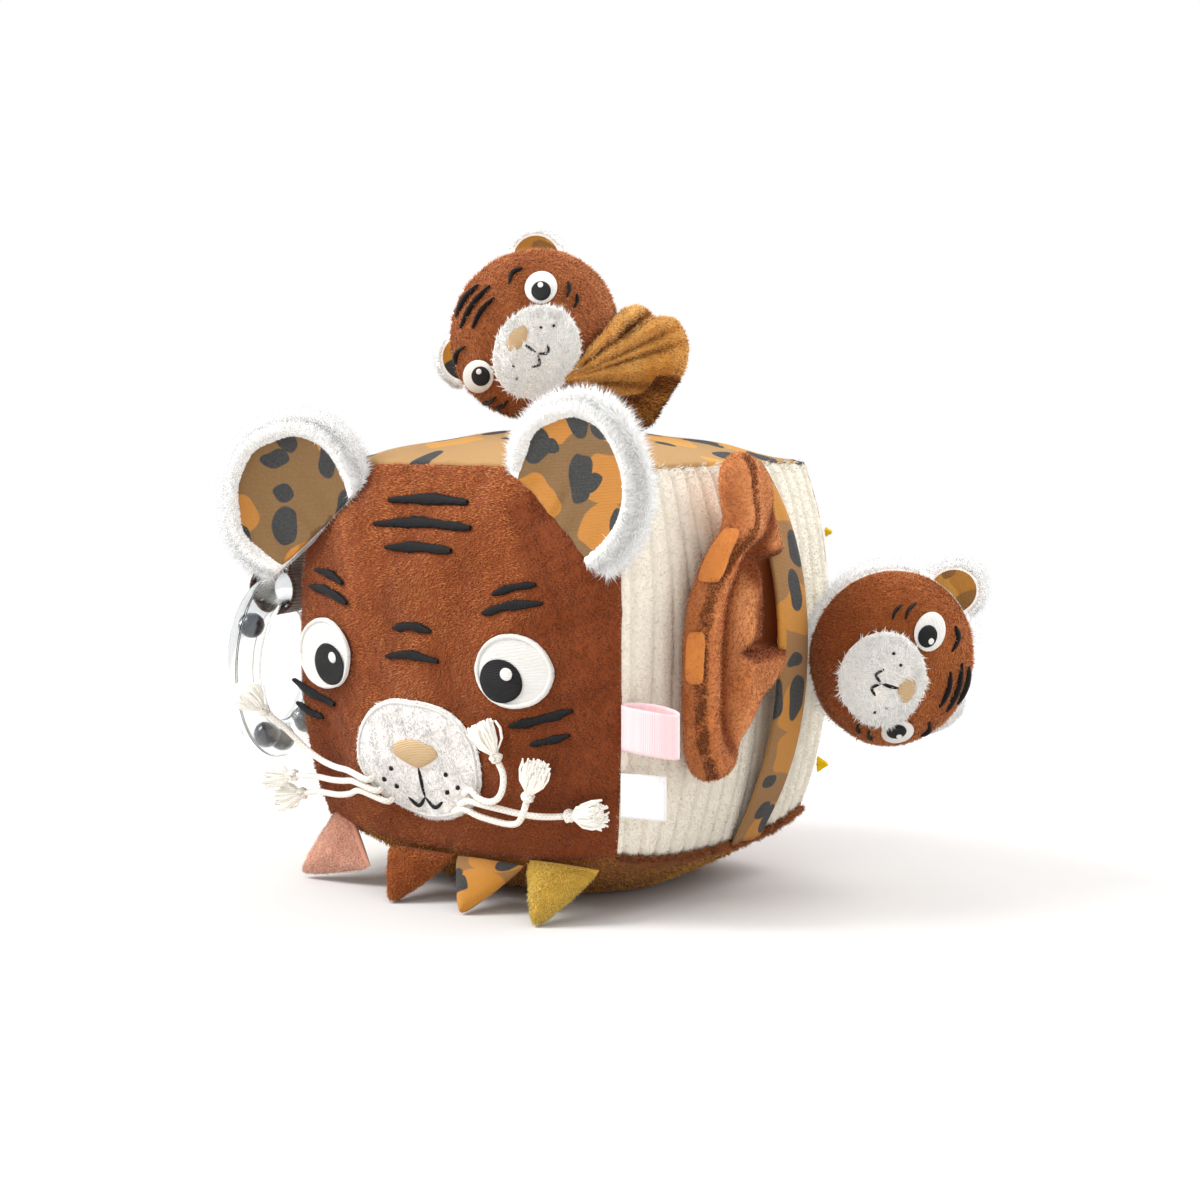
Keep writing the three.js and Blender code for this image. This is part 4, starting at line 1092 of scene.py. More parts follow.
for side_name, sign in (("left", -1), ("right", 1)):
    eye_x = FACE_X + sign * EYE_SPREAD
    pupil_x, pupil_height = eye_x - sign * PUPIL_INSET, EYE_HEIGHT - PUPIL_DROP
    eye = pillow(f"{side_name}_eye_patch", face_place(eye_x, EYE_HEIGHT), *EYE_SIZE, 0.2, 1.7)
    dress(eye, WHITE_STITCH, "block", "eye_white", f"{side_name}_eye")
    rim_band = oval_band(eye_x, EYE_HEIGHT, EYE_SIZE[0] - 1.6, EYE_SIZE[1] - 1.6, 2.0)
    rim = stitched(f"{side_name}_eye_rim", [rim_band], on_front, 0.8, 2.3)
    dress(rim, WHITE_STITCH, "block", "eye_white")
    pupil_place = face_place(pupil_x, pupil_height)
    pupil = pillow(f"{side_name}_pupil_patch", pupil_place, PUPIL_SIZE, PUPIL_SIZE, 1.7, 1.3)
    dress(pupil, BLACK_STITCH, "block", "eye_black", f"{side_name}_pupil")
    glint_place = face_place(pupil_x + 3.2, pupil_height + 3.4)
    glint = pillow(f"{side_name}_glint", glint_place, 4.4, 4.4, 2.7, 0.7, segments=24, rings=10)
    dress(glint, WHITE_STITCH, "block", "eye_white")

LIP_RUNS = [[(0, -1), (0.3, -7), (0, -12.5)], [(-9.5, -13.4), (-4.5, -16), (0, -12.5)],
            [(9.5, -13.4), (4.5, -16), (0, -12.5)]]
MOUTH_STROKES = [stroke([(FACE_X + u, MUZZLE_HEIGHT + v) for u, v in run], 1.6) for run in LIP_RUNS]
for sign in (-1, 1):
    for du, dv in ((14, -3), (19, -7.5), (13.5, -9.5)):
        MOUTH_STROKES.append(arch(FACE_X + sign * du, MUZZLE_HEIGHT + dv, 0.9, 0, 0.1, 1.9, 10))


def muzzle_keep(points, normals, spots, slack):
    """Leaves the nose, the mouth and the muzzle's underside bare."""
    here = spots + np.array((FACE_X, MUZZLE_HEIGHT))
    return bare_places(MOUTH_STROKES, [NOSE])(points, normals, here, slack) & (normals[:, 1] < 0.2)


muzzle = pillow("muzzle_patch", face_place(FACE_X, MUZZLE_HEIGHT), MUZZLE_WIDE, MUZZLE_TALL, 0.2, 2.2,
                segments=96, rings=40, outline=muzzle_outline)
dress(muzzle, MUZZLE_FLEECE, "block", "white_fur", "muzzle")
grow("muzzle_fleece", muzzle, (MUZZLE_FLEECE, "block", "white_fur"), 9000, 1.6, 0.5, steady(0.2, 0, -1),
     lean=0.72, ruffle=0.4, tufts=1.0, keep=muzzle_keep, marks=read_uv(muzzle), seed=21)
turns = np.linspace(0, tau, 110)
oval = np.stack([MUZZLE_WIDE / 2 * np.cos(turns), MUZZLE_TALL / 2 * np.sin(turns)], 1)
border_line = np.array((FACE_X, MUZZLE_HEIGHT)) + (muzzle_outline(turns)[:, None] - 0.06) * oval
border = stitched("muzzle_border", [(border_line, np.full(110, 0.6))], on_front, 1.6, 2.8)
dress(border, WHITE_STITCH, "block", "white_fur")
nose = pillow("nose_stitching", face_place(*NOSE[:2]), *NOSE[2:], 2.0, 1.9, outline=nose_outline)
dress(nose, BEIGE_STITCH, "block", "white_fur")
mouth = stitched("mouth_stitching", MOUTH_STROKES, on_front, 1.9, 3.4, seed=5)
dress(mouth, BLACK_STITCH, "block", "eye_black")
stripes = stitched("face_stripes", FACE_STROKES, on_front, 0.1, 1.7, seed=6)
dress(stripes, BLACK_STITCH, "block", "eye_black")

# Ears: a dished fur disc with a rim and a printed lining, cut along its base. Each leans out in the
# disc's plane, is cut at its reach from the middle, and is turned about the upright.

EARS = {
    "right": dict(x=65, drop=7, reach=15, lean=50, turn=-6),
    "left": dict(x=-80, drop=16, reach=17, lean=131, turn=12),
}
EAR_RADIUS, LINING_RADIUS = 34.0, 27.8


def ear(name, x, drop, reach, lean, turn):
    axis = np.array((sin(radians(turn)), -cos(radians(turn)), 0))
    centre = np.array((x, -82.0, TOP_LEVEL - drop))
    side = unit(np.cross(UPWARD, axis))
    basis = np.array([side, np.cross(axis, side), axis])
    out = np.array((cos(radians(lean)), sin(radians(lean))))

    def settle(piece, points):
        """Cuts the local form along its base, sets it at the ear's place and clear of the block."""
        move_to(piece, points)
        cut(piece, (-out[0] * reach * MM, -out[1] * reach * MM, 0), (-out[0], -out[1], 0))
        local = corners(piece) / MM
        placed = centre + local @ basis
        wall = front(np.clip(placed[:, 0], -75, 75), np.clip(placed[:, 2] - SEAM_LIFT, 0, 150))[:, 1]
        on_block = (np.abs(placed[:, 0]) < 80) & (placed[:, 2] < TOP_LEVEL + 1)
        before_wall = np.minimum(placed[:, 1], wall - 0.6 + (local[:, 2] + 5) * -0.15)
        placed[:, 1] = np.where(on_block, before_wall, placed[:, 1])
        move_to(piece, placed)
        outward(piece)
        put_in_order(piece)
        piece.data.shade_smooth()

    def local_of(points):
        return (points - centre) @ basis.T

    def keep(points, normals, spots, slack):
        """Leaves the lining's place and the cut base bare."""
        here = local_of(points)
        above_base = here[:, 0] * out[0] + here[:, 1] * out[1] > -reach + 1.5
        return above_base & ((np.hypot(here[:, 0], here[:, 1]) > 27.6) | ((normals @ axis) < 0))

    def comb(points, normals):
        """Combs the fur from the ear's middle to its edge."""
        ring = unit(local_of(points)[:, :2])
        return (ring[:, :1] * basis[0] + ring[:, 1:] * basis[1]) + axis * 0.15

    def shaping(points):
        return 0.55 + 0.45 * np.clip((np.hypot(*local_of(points)[:, :2].T) - 18) / 14, 0, 1)

    disc, p = ball(f"{name}_ear_cloth", 64, 32)
    share, angle = polar(p)
    radius = EAR_RADIUS * (1 + 0.012 * np.sin(5 * angle + x))
    rim_level = 1.2 + 4.6 * bell(share, 0.87, 0.1) - 4.0 * np.clip((share - 0.93) / 0.07, 0, 1)
    level = np.where(p[:, 2] > 0, rim_level, -4.4 + 4.6 * share**4)
    settle(disc, np.stack([share * np.cos(angle) * radius, share * np.sin(angle) * radius, level], 1))
    dress(disc, WHITE_FUR, f"{name}_ear", "white_fur", f"{name}_ear_back")
    grow(f"{name}_ear_fur", disc, (WHITE_FUR, f"{name}_ear", "white_fur"), 36500, 6.6, 0.5, comb,
         lean=0.62, ruffle=0.34, keep=keep, seed=31, shaping=shaping)

    lining, p = ball(f"{name}_ear_print", 64, 28)
    share, angle = polar(p)
    flat = np.stack([share * np.cos(angle) * LINING_RADIUS, share * np.sin(angle) * LINING_RADIUS], 1)
    along = flat @ out
    beside = flat @ np.array((-out[1], out[0]))
    pleat = 1.5 * bell(beside - 4 - 0.12 * along, 0, 2.2) * np.clip((6 - along) / 18, 0, 1)
    fold = 0.5 * np.sin(beside * 0.5 + 1) * np.clip((8 - along) / 20, 0, 1)
    top = 1.9 + 1.9 * share**3 + pleat - fold + 0.25 * np.sin(angle * 9) * share**6
    settle(lining, np.column_stack([flat, np.where(p[:, 2] > 0, top, 0.9 + 1.3 * share**3)]))
    lay_uv(lining, local_of(corners(lining) / MM)[:, :2] + (x, 13))
    dress(lining, EAR_PRINT, f"{name}_ear", "spotted_cloth", f"{name}_ear_lining")


for ear_name, sizes in EARS.items():
    ear(ear_name, **sizes)

# Spikes along the front bottom seam: shares of length, half width and thickness from root to tip.

SPIKE_SHARES = [(0, 1, 0.14), (0.1, 0.97, 0.5), (0.27, 0.84, 0.88), (0.48, 0.64, 1), (0.7, 0.41, 0.84),
                (0.89, 0.19, 0.56), (1, 0.04, 0.2)]
SPIKE_FIRST, SPIKE_PITCH = -56.0, 36
SPIKE_HALF_WIDE, SPIKE_HALF_THICK = 17.0, 5.1


def squarish(wave):
    """A circle's sine or cosine, drawn in towards a pointed oval's."""
    return np.sign(wave) * np.abs(wave) ** (2 / 1.75)


def spike(name, index, finish, slot):
    x = SPIKE_FIRST + SPIKE_PITCH * index
    seam = block_point(x / HALF[0], -1, -1)
    tip = np.array((x, seam[1] - 20, 1.4) if index else (x - 26, seam[1] - 20 / 3, 2.8))
    base = seam + unit(tip - seam) * 1.2
    run = tip - base
    across = unit(np.array((1.0, 0, 0)) - run * run[0] / (run @ run))
    up = unit(np.cross(across, run))
    angle = np.arange(40) * tau / 40
    rings = []
    for along, half, thick in through(np.array(SPIKE_SHARES), 26):
        wide = max(half * SPIKE_HALF_WIDE, 2.4 * (1.15 - min(along, 1)))
        hollow = 1 - 0.05 * sin(pi * min(along, 1))
        wrinkle = 1 + 0.1 * sin(along * 9 + index) * np.cos(3 * angle)
        rings.append(base + run * along + across * (wide * hollow * squarish(np.cos(angle)))[:, None]
                     + up * (thick * SPIKE_HALF_THICK * wrinkle * squarish(np.sin(angle)))[:, None])
    pad = swept(f"{name}_spike_pad", np.array(rings))
    flat = (corners(pad) / MM - base) @ np.array([across, unit(run)]).T
    lay_uv(pad, flat + (40 * index, 0))
    dress(pad, finish, f"{name}_flap", slot, f"{name}_spike")
    if finish is not PRINT:
        grow(f"{name}_spike_pad_pile", pad, (finish, f"{name}_flap", slot), 6500, 1.7, 0.42, steady(*run),
             lean=0.6, ruffle=0.25, seed=41 + index,
             keep=lambda p, n, s, slack: (p[:, 2] > 1.0) & ((p - base) @ unit(run) > 1.5))


spike("pink", 0, PINK, "pink_cloth")
spike("rust", 1, RUST, "rust_plush")
spike("spotted", 2, PRINT, "spotted_cloth")
spike("mustard", 3, MUSTARD, "mustard_cloth")

# Ribbon loop, label and corner tabs in the side seams


def seam_place(side, height):
    return block_point(1, side, height / HALF[2] - 1)


def cloth_strip(name, points, across, wide, thickness, dressing, lift=None, columns=12):
    """A strip of cloth along a path, wide in the direction across, with its flat size laid out in its cloth
    UV map.
    """
    strip = primitive("grid", name, x_subdivisions=columns, y_subdivisions=len(points) - 1, size=2)
    share, up = corners(strip)[:, :2].T
    rows = np.clip(np.rint((up + 1) / 2 * (len(points) - 1)).astype(int), 0, len(points) - 1)
    placed = points[rows] + np.asarray(across) * (share * wide / 2)[:, None]
    if lift is not None:
        placed = placed + lift(rows, share)
    run = run_along(points)
    move_to(strip, placed)
    lay_uv(strip, np.stack([share * wide / 2, run[rows]], 1))
    finish_with(strip, "SOLIDIFY", thickness=thickness * MM, offset=0)
    outward(strip)
    strip.data.shade_smooth()
    dress(strip, *dressing)


TAG_TURN = radians(12)
TAG_OUT = np.array((cos(TAG_TURN), sin(TAG_TURN), 0))
TAG_SIDE = np.array((-sin(TAG_TURN), cos(TAG_TURN), 0))
TAG_WIDE = 17

foot = seam_place(-1, 53) + (0.5, -0.5, 0)
turns = np.linspace(pi - 0.22, -pi + 0.22, 49)
loop = foot + TAG_OUT * (11.8 + 11.5 * np.cos(turns))[:, None] + TAG_SIDE * (5.2 * np.sin(turns))[:, None]
loop[:, 2] += 0.5 * np.sin(turns) - 2.6 * ((1 + np.cos(turns)) / 2) ** 2
cloth_strip("ribbon_loop_satin", loop, UPWARD, TAG_WIDE, 0.5,
            (SATIN, "ribbon", "pink_satin", "ribbon_loop"))

foot = seam_place(-1, 26) + (0.6, -0.4, 0)
half_fold = np.array([(0.4, 0.45, 0), (8, 0.75, 0), (16, 0.8, 0), (18.4, 0.5, 0)])
whole_fold = np.vstack([half_fold * (1, -1, 1), (18.9, 0, 0), half_fold[::-1]])
fold_line = through(whole_fold, 40)[:, :2]
label_line = np.array([foot + TAG_OUT * out + TAG_SIDE * side for out, side in fold_line])
cloth_strip("label_fold", label_line, UPWARD, TAG_WIDE, 0.4,
            (LABEL, "label", "label_cloth", "blank_label"))

TAB_TURN = radians(19)
TAB_OUT = np.array((cos(TAB_TURN), sin(TAB_TURN), 0))
TAB_SIDE = np.array((-sin(TAB_TURN), cos(TAB_TURN), 0))
TAB_LONG, TAB_HIGH, TAB_THICK = 4.2, 2.9, 1.7
TAB_SHARES = np.array([(0.05, 1, 1), (0.5, 0.62, 0.9), (0.9, 0.22, 0.6), (1, 0.1, 0.3)])
for tab_name, height, size in (("upper", 119, 0.6), ("lower", 18, 1.15)):
    foot = seam_place(1, height)
    angle = np.arange(24) * tau / 24
    rings = []
    for along, half, thick in through(TAB_SHARES, 14):
        up, aside = half * TAB_HIGH * size * np.cos(angle), thick * TAB_THICK * np.sin(angle)
        middle = foot + TAB_OUT * along * TAB_LONG * size
        rings.append(middle + UPWARD * up[:, None] + TAB_SIDE * aside[:, None])
    tab = swept(f"{tab_name}_tab", np.array(rings))
    dress(tab, YELLOW, "block", "yellow_felt", f"{tab_name}_corner_tab")
    grow(f"{tab_name}_tab_fuzz", tab, (YELLOW, "block", "yellow_felt"), 700, 0.9, 0.4, steady(*TAB_OUT),
         lean=0.5, ruffle=0.4, seed=51)

# Rattle ring, beads and strap

RING_TURN = radians(15)
RING_CENTRE = np.array((-109.0, -61.0, 88.0))
RING_AXIS = np.array((cos(RING_TURN), sin(RING_TURN), 0))
RING_SIDE = np.cross(UPWARD, RING_AXIS)
RING_BASIS = np.array([RING_SIDE, np.cross(RING_AXIS, RING_SIDE), RING_AXIS])
RING_TUBE, RING_RADIUS, BEAD_RADIUS = 7.8, 32.7, 5.35
WELD_WIDE, WELD_PROUD = 1.6, 0.35

for shell_name, sign in (("inner", 1), ("outer", -1)):
    shell = primitive("torus", f"ring_{shell_name}_half", major_segments=128, minor_segments=40,
                      major_radius=RING_RADIUS * MM, minor_radius=RING_TUBE * MM)
    cut(shell, (0, 0, 0.00015 * sign), (0, 0, -sign), fill=False)
    local = corners(shell) / MM
    radial = np.hypot(local[:, 0], local[:, 1])
    weld = np.clip(1 - np.abs(local[:, 2]) / WELD_WIDE, 0, 1) * np.sign(radial - RING_RADIUS) * WELD_PROUD
    local[:, :2] *= ((radial + weld) / radial)[:, None]
    move_to(shell, local)
    finish_with(shell, "SOLIDIFY", thickness=1.5 * MM, offset=-1)
    outward(shell)
    move_to(shell, RING_CENTRE + (corners(shell) / MM) @ RING_BASIS)
    smooth(shell, 40)
    dress(shell, CLEAR, "ring", "clear_plastic", f"ring_{shell_name}_shell")

# The beads lie low in the ring, the last one where it balances the others.
bead_angles = [radians(t) for t in (5, 125, -32, -59)]
bead_angles.append(asin(-sum(sin(t) for t in bead_angles)))
for i, angle in enumerate(bead_angles):
    bead, p = ball(f"rattle_bead_{i + 1}", 32, 20)
    ridge = 1 + 0.03 * bell(p[:, 2], 0, 0.08)
    hole = 1 - 0.16 * bell(np.hypot(p[:, 0], p[:, 1]), 0, 0.16)
    tilt = np.array(Matrix.Rotation(angle + i, 3, (0.6, 0.8, 0)))
    at = RING_CENTRE - RING_SIDE * RING_RADIUS * sin(angle) - UPWARD * RING_RADIUS * cos(angle)
    move_to(bead, at + (p * BEAD_RADIUS * (ridge * hole)[:, None]) @ tilt.T)
    bead.data.shade_smooth()
    dress(bead, BEAD, "beads", "bead_plastic", f"bead_{i + 1}")

# The strap runs from the seam down to the ring, round its tube and back.
STRAP_WIDE, STRAP_THICK, STRAP_APART = 18, 1.2, 0.8
ring_top = RING_CENTRE + UPWARD * RING_RADIUS
rise = block_point(-1, -61 / HALF[1], 1) - (0, 0, 10) - ring_top
reach = hypot(rise[0], rise[2]) + 1.0
slope = atan2(rise[2], rise[0])
loop_radius = RING_TUBE + STRAP_WIDE**2 / 8 / (RING_RADIUS - RING_TUBE) + 0.3 + 0.8
spring = asin(1.0 / loop_radius)
neck = loop_radius * cos(spring) + 2
round_tube = np.linspace(spring + 0.1, tau - spring - 0.1, 40)
flat_path = [(reach, STRAP_APART), (neck, STRAP_APART),
             *((loop_radius * cos(t), loop_radius * sin(t)) for t in round_tube),
             (neck, -STRAP_APART), (reach, -STRAP_APART)]
path = [(a * cos(slope) - b * sin(slope), 0, a * sin(slope) + b * cos(slope)) for a, b in flat_path]
strap_turn = np.array(Matrix.Rotation(RING_TURN, 3, "Z"))
strap_line = ring_top + through(path, 64) @ strap_turn.T
cloth_strip("ring_strap_webbing", strap_line, strap_turn @ (0, 1, 0), STRAP_WIDE, STRAP_THICK,
            (STRAP, "block", "brown_strap", "ring_strap"))

# The printed band over the right side

BAND_WIDE, BAND_RISE, BAND_SHARE = 22, 11, 15 / HALF[1]
band_rows = np.linspace(-0.985, 0.985, 60)
uphill = (block_point(1, BAND_SHARE, np.minimum(band_rows + 0.004, 1))
          - block_point(1, BAND_SHARE, np.maximum(band_rows - 0.004, -1)))
off_block = unit(np.stack([uphill[:, 2], np.zeros(len(band_rows)), -uphill[:, 0]], 1))
band_gap = 1.4 + BAND_RISE * (1 - band_rows**2)
band_line = block_point(1, BAND_SHARE, band_rows) + off_block * band_gap[:, None]


def band_lift(row, share):
    """The band's edges curl in, and it ripples towards its ends."""
    curl = -1.1 * np.abs(share) ** 4 * (1 - band_rows[row] ** 2)
    ripple = 0.5 * np.sin(share * 5 + row * 0.21) * np.abs(band_rows[row]) ** 2
    return off_block[row] * (curl + ripple)[:, None]


cloth_strip("side_band_cloth", band_line, (0.0, 1, 0), BAND_WIDE, 1.1,
            (PRINT, "block", "spotted_cloth", "side_band"), band_lift, columns=16)

# Small dolls


class Head:
    """A doll's head: its own axes x, y, z run across the face, to the crown and out of the face."""

    def __init__(self, centre, faceward, crownward, wide, tall, deep):
        z = unit(faceward)
        y = unit(crownward - z * (crownward @ z))
        self.basis = np.array([np.cross(y, z), y, z])
        self.centre, self.half = np.array(centre), np.array((wide, tall, deep)) / 2

    def placed(self, local):
        return self.centre + local @ self.basis

    def local(self, points):
        return (points - self.centre) @ self.basis.T

    def on_dome(self, u, v, off):
        """Points off the dome's surface, at u across the face and v towards the crown."""
        u, v, off = np.broadcast_arrays(*(np.asarray(s, float) for s in (u, v, off)))
        p, q = u / self.half[0], v / self.half[1]
        depth = self.half[2] * np.sqrt(np.maximum(1 - p**2 - q**2, 0))
        normal = unit(np.stack([p / self.half[0], q / self.half[1], depth / self.half[2] ** 2], -1))
        return self.placed(np.stack([u, v, depth], -1) + normal * off[..., None])


SIDE_DIP, TOP_ROLL = radians(17), radians(36)
SIDE_HEAD = Head((124.8449, 56, 96), VIEWED * cos(SIDE_DIP) - UPWARD * sin(SIDE_DIP), RIGHTWARD, 78, 69, 62)
TOP_HEAD = Head((-18, 0, 229.5064), VIEWED, -RIGHTWARD * cos(TOP_ROLL) + UPWARD * sin(TOP_ROLL), 75, 72, 66)

# On a doll's face, from its middle: forehead stripes (height, half width), then the strokes of one
# cheek, the lips, the dots of one side, and an eye's patches (name, inwards, right, above, size,
# floor, thickness, finish, slot).
FOREHEAD = ((25, 8.5), (20.5, 11), (15.8, 8))
CHEEK = (([(16, 13), (20.5, 14.6), (25, 12.6)], 1.3), ([(25.5, -10), (29, -9), (31.5, -6.4)], 1.3),
         ([(24, -15), (27, -14.5), (29.5, -12.4)], 1.2))
LIPS = ([(0, 6), (0.1, 3), (0, -0.6)], [(-5.8, -1.2), (-2.8, -3.4), (0, -0.6)],
        [(5.8, -1.2), (2.8, -3.4), (0, -0.6)])
DOTS = ((9, 4.2), (12.4, 0.6))
EYE_OVAL, SNOUT_OVAL, NOSE_OVAL = (13.8, 13.2), (39, 33), (11, 6.4)
EYE_PATCHES = (("eye_patch", 0.0, 0, 0.0, EYE_OVAL, -0.6, 2.0, WHITE_STITCH, "eye_white"),
               ("pupil_patch", -1.6, 0, -1.2, (7.8, 7.8), 1.0, 1.1, BLACK_STITCH, "eye_black"),
               ("glint", -1.6, 1.5, 0.3, (2.2, 2.2), 1.9, 0.5, WHITE_STITCH, "eye_white"))


def half_head(name, head, side, grow_by):
    """Half of a stuffed head, cut flat where the two halves meet."""
    dome = ball(name, 72, 40)[0]
    cut(dome, (0, 0, 0.004 * side), (0, 0, -side))
    local = corners(dome) * (head.half + grow_by)
    local *= (1 + 0.008 * grain(local, 15, len(name)))[:, None] - 0.008
    move_to(dome, head.placed(local))
    outward(dome)
    return smooth(dome, 60)


def doll_head(name, head, cloth, aside, lifted, tilt, halo, tucks):
    """A doll's head: plush face with its stitching, fur hood, muzzle and ears. Its features lie aside
    and lifted on the dome and are turned by tilt; halo tells how far the fur stands out round it."""
    body = f"{name}_head"
    white_fur = (WHITE_FUR, body, "white_fur")
    eye_u, eye_v = 22.5, 1.0 + lifted
    muzzle_v = -0.36 * head.half[1] + lifted
    nose_v = muzzle_v + 9

    def turned(u, v):
        lean = radians(tilt)
        return u * cos(lean) + v * sin(lean), v * cos(lean) - u * sin(lean)

    def on_face(u, v, off):
        return head.on_dome(*turned(u, v), off)

    def spot(u_at, v_at):
        return lambda u, v, off: on_face(u + u_at, v + v_at, off)

    def bare(strokes, ovals):
        leaned = [(np.stack(turned(*spine.T), 1), half) for spine, half in strokes]
        return bare_places(leaned, [(*turned(u, v), *size) for u, v, size in ovals])

    strokes = [arch(aside, v + lifted, half, 1.2, 0, 1.4, 22) for v, half in FOREHEAD]
    for s in (-1, 1):
        for run, width in CHEEK:
            strokes.append(stroke([(aside + s * u, v + lifted) for u, v in run], width, 18))
    bare_face = bare(strokes, [*((aside + s * eye_u, eye_v, EYE_OVAL) for s in (-1, 1)),
                               (aside, muzzle_v, SNOUT_OVAL)])

    def face_side(points, normals, marks, slack):
        return (head.local(points)[:, 2] > 0.6) & bare_face(points, normals, marks, slack)

    face = half_head(f"{name}_face_cloth", head, 1, -0.8)
    dress(face, cloth, body, "rust_plush", f"{name}_face")
    lighten(face, 0.5)
    grow(f"{name}_face_pile", face, (cloth, body, "rust_plush"), 15000, 2.0, 0.44,
         steady(*(head.basis[0] * 0.6 - head.basis[1])), lean=0.55, ruffle=0.25, seed=61,
         keep=face_side, marks=head.local(corners(face) / MM)[:, :2])

    ear_spots = [(s * 0.74 * head.half[0], 0.74 * head.half[1]) for s in (-1, 1)]

    def hooded(points, normals, spots, slack):
        """Keeps the fur off the face's side, and off the ears' places."""
        local = head.local(points)
        clear = np.ones(len(points), bool)
        for u, v in ear_spots:
            clear &= np.hypot(local[:, 0] - u, local[:, 1] - v) > 16
        return ((local[:, 2] < -0.4) & (clear | (local[:, 2] < -13))) | (slack > 0)

    def hood_comb(points, normals):
        return unit(head.local(points) * (1, 1, 0.2)) @ head.basis - head.basis[2] * (1.4 - 1.1 * halo)

    def hood_shaping(points):
        depth = head.local(points)[:, 2]
        return (0.62 + 0.38 * bell(depth, 0, 11)) * (halo + (1 - halo) * ramp(-depth, 2, 20))

    hood = half_head(f"{name}_hood_cloth", head, -1, -0.5)
    dress(hood, *white_fur, f"{name}_hood")
    grow(f"{name}_hood_fur", hood, white_fur, 30000, 6.2, 0.5, hood_comb,
         lean=0.6, ruffle=0.34, seed=62, keep=hooded, shaping=hood_shaping)

    mouth_strokes = [stroke([(aside + u, muzzle_v + v) for u, v in run], 1.3, 14) for run in LIPS]
    for s in (-1, 1):
        mouth_strokes += [arch(aside + s * u, muzzle_v + v, 0.6, 0, 0, 1.4, 8) for u, v in DOTS]
    bare_snout = bare(mouth_strokes, [(aside, nose_v, NOSE_OVAL)])
    snout = pillow(f"{name}_muzzle_patch", spot(aside, muzzle_v), *SNOUT_OVAL, 0.2, 2.4, rings=22)
    dress(snout, FLEECE, body, "white_fur", f"{name}_muzzle")
    grow(f"{name}_muzzle_fur", snout, (FLEECE, body, "white_fur"), 9000, 4.4, 0.55,
         lambda p, n: unit(head.local(p) - (aside, muzzle_v + 4, 0)) @ head.basis,
         lean=0.72, ruffle=0.3, tufts=0.9, seed=63, marks=head.local(corners(snout) / MM)[:, :2],
         keep=lambda p, n, m, slack: ((n @ head.basis[2]) > 0.0) & bare_snout(p, n, m, slack))
    nose_patch = pillow(f"{name}_nose", spot(aside, nose_v), *NOSE_OVAL, 2.0, 2.4, segments=36, rings=14)
    dress(nose_patch, BEIGE_STITCH, body, "white_fur")
    mouth = stitched(f"{name}_mouth", mouth_strokes, on_face, 2.0, 4.8, seed=64)
    dress(mouth, BLACK_STITCH, body, "eye_black")
    stripes = stitched(f"{name}_stripes", strokes, on_face, -0.7, 1.5, seed=65)
    dress(stripes, BLACK_STITCH, body, "eye_black")
    for side_name, s in (("left", -1), ("right", 1)):
        for patch, inwards, right, above, size, floor, thick, finish, slot in EYE_PATCHES:
            at = spot(aside + s * (eye_u + inwards) + right, eye_v + above)
            disc = pillow(f"{name}_{side_name}_{patch}", at, *size, floor, thick, segments=40, rings=16)
            dress(disc, finish, body, slot)
        doll_ear(name, head, side_name, s, tucks[side_name], halo)


def doll_ear(name, head, side_name, s, tuck, halo):
    """A small ear, moved by tuck from its usual place in the hood: a furred pad and a printed lining."""
    body = f"{name}_head"
    middle = np.array((s * 0.72 * head.half[0], 0.72 * head.half[1], -3.5))
    middle = middle + unit(middle * (1, 1, 0)) * 0.6 + tuck

    def outside(points, normals, marks, slack):
        """Leaves the lining's place and what lies in the head bare."""
        here = head.local(points)
        ring = np.hypot(*(here - middle)[:, :2].T)
        clear = ((here / (head.half + 1.5)) ** 2).sum(1) > 1
        return clear & ((ring > 10.3) | ((normals @ head.basis[2]) < 0))

    pad, p = ball(f"{name}_{side_name}_ear_pad", 40, 20)
    ring = np.hypot(p[:, 0], p[:, 1])
    local = p * (12.0, 12.0, 3.3)
    rim = 1.2 + 1.6 * bell(ring, 0.85, 0.16) - 2.0 * np.clip((ring - 0.93) / 0.07, 0, 1)
    local[:, 2] = np.where(p[:, 2] > 0, rim, local[:, 2])
    move_to(pad, head.placed(middle + local))
    pad.data.shade_smooth()
    dress(pad, WHITE_FUR, body, "white_fur", f"{name}_{side_name}_ear")
    grow(f"{name}_{side_name}_ear_fur", pad, (WHITE_FUR, body, "white_fur"), 6000, 4.6, 0.5,
         lambda q, n: unit((head.local(q) - middle) * (1, 1, 0.1)) @ head.basis,
         lean=0.6, ruffle=0.26, seed=71, keep=outside, shaping=lambda q: 0.4 + 0.6 * halo)

    lining, p = ball(f"{name}_{side_name}_ear_print", 36, 16)
    ring = np.hypot(p[:, 0], p[:, 1])
    local = np.column_stack([p[:, :2] * 9.8, np.where(p[:, 2] > 0, 2.0 + 0.8 * ring**2, 0.6)])
    move_to(lining, head.placed(middle + local))
    lay_uv(lining, local[:, :2] + (s * 17 + len(name) * 9, 31))
    lining.data.shade_smooth()
    dress(lining, OCHRE if name == "side_doll" or s > 0 else PRINT, body, "spotted_cloth")


doll_head("side_doll", SIDE_HEAD, RUST, aside=-0.5, lifted=5.5, tilt=14, halo=1.0,
          tucks={"left": (0, -1.0, 0), "right": (-5.0, -7.0, -5.0)})
doll_head("top_doll", TOP_HEAD, LIT_RUST, aside=-5.5, lifted=7.0, tilt=0, halo=0.3,
          tucks={"left": (2.0, -8.0, -2.0), "right": (-1.0, -8.0, -1.0)})

# The side doll's flat body, fanned out from under the band

BODY_PLANE = 98.3
BODY_LOW, BODY_HIGH = 54.6, 181.6
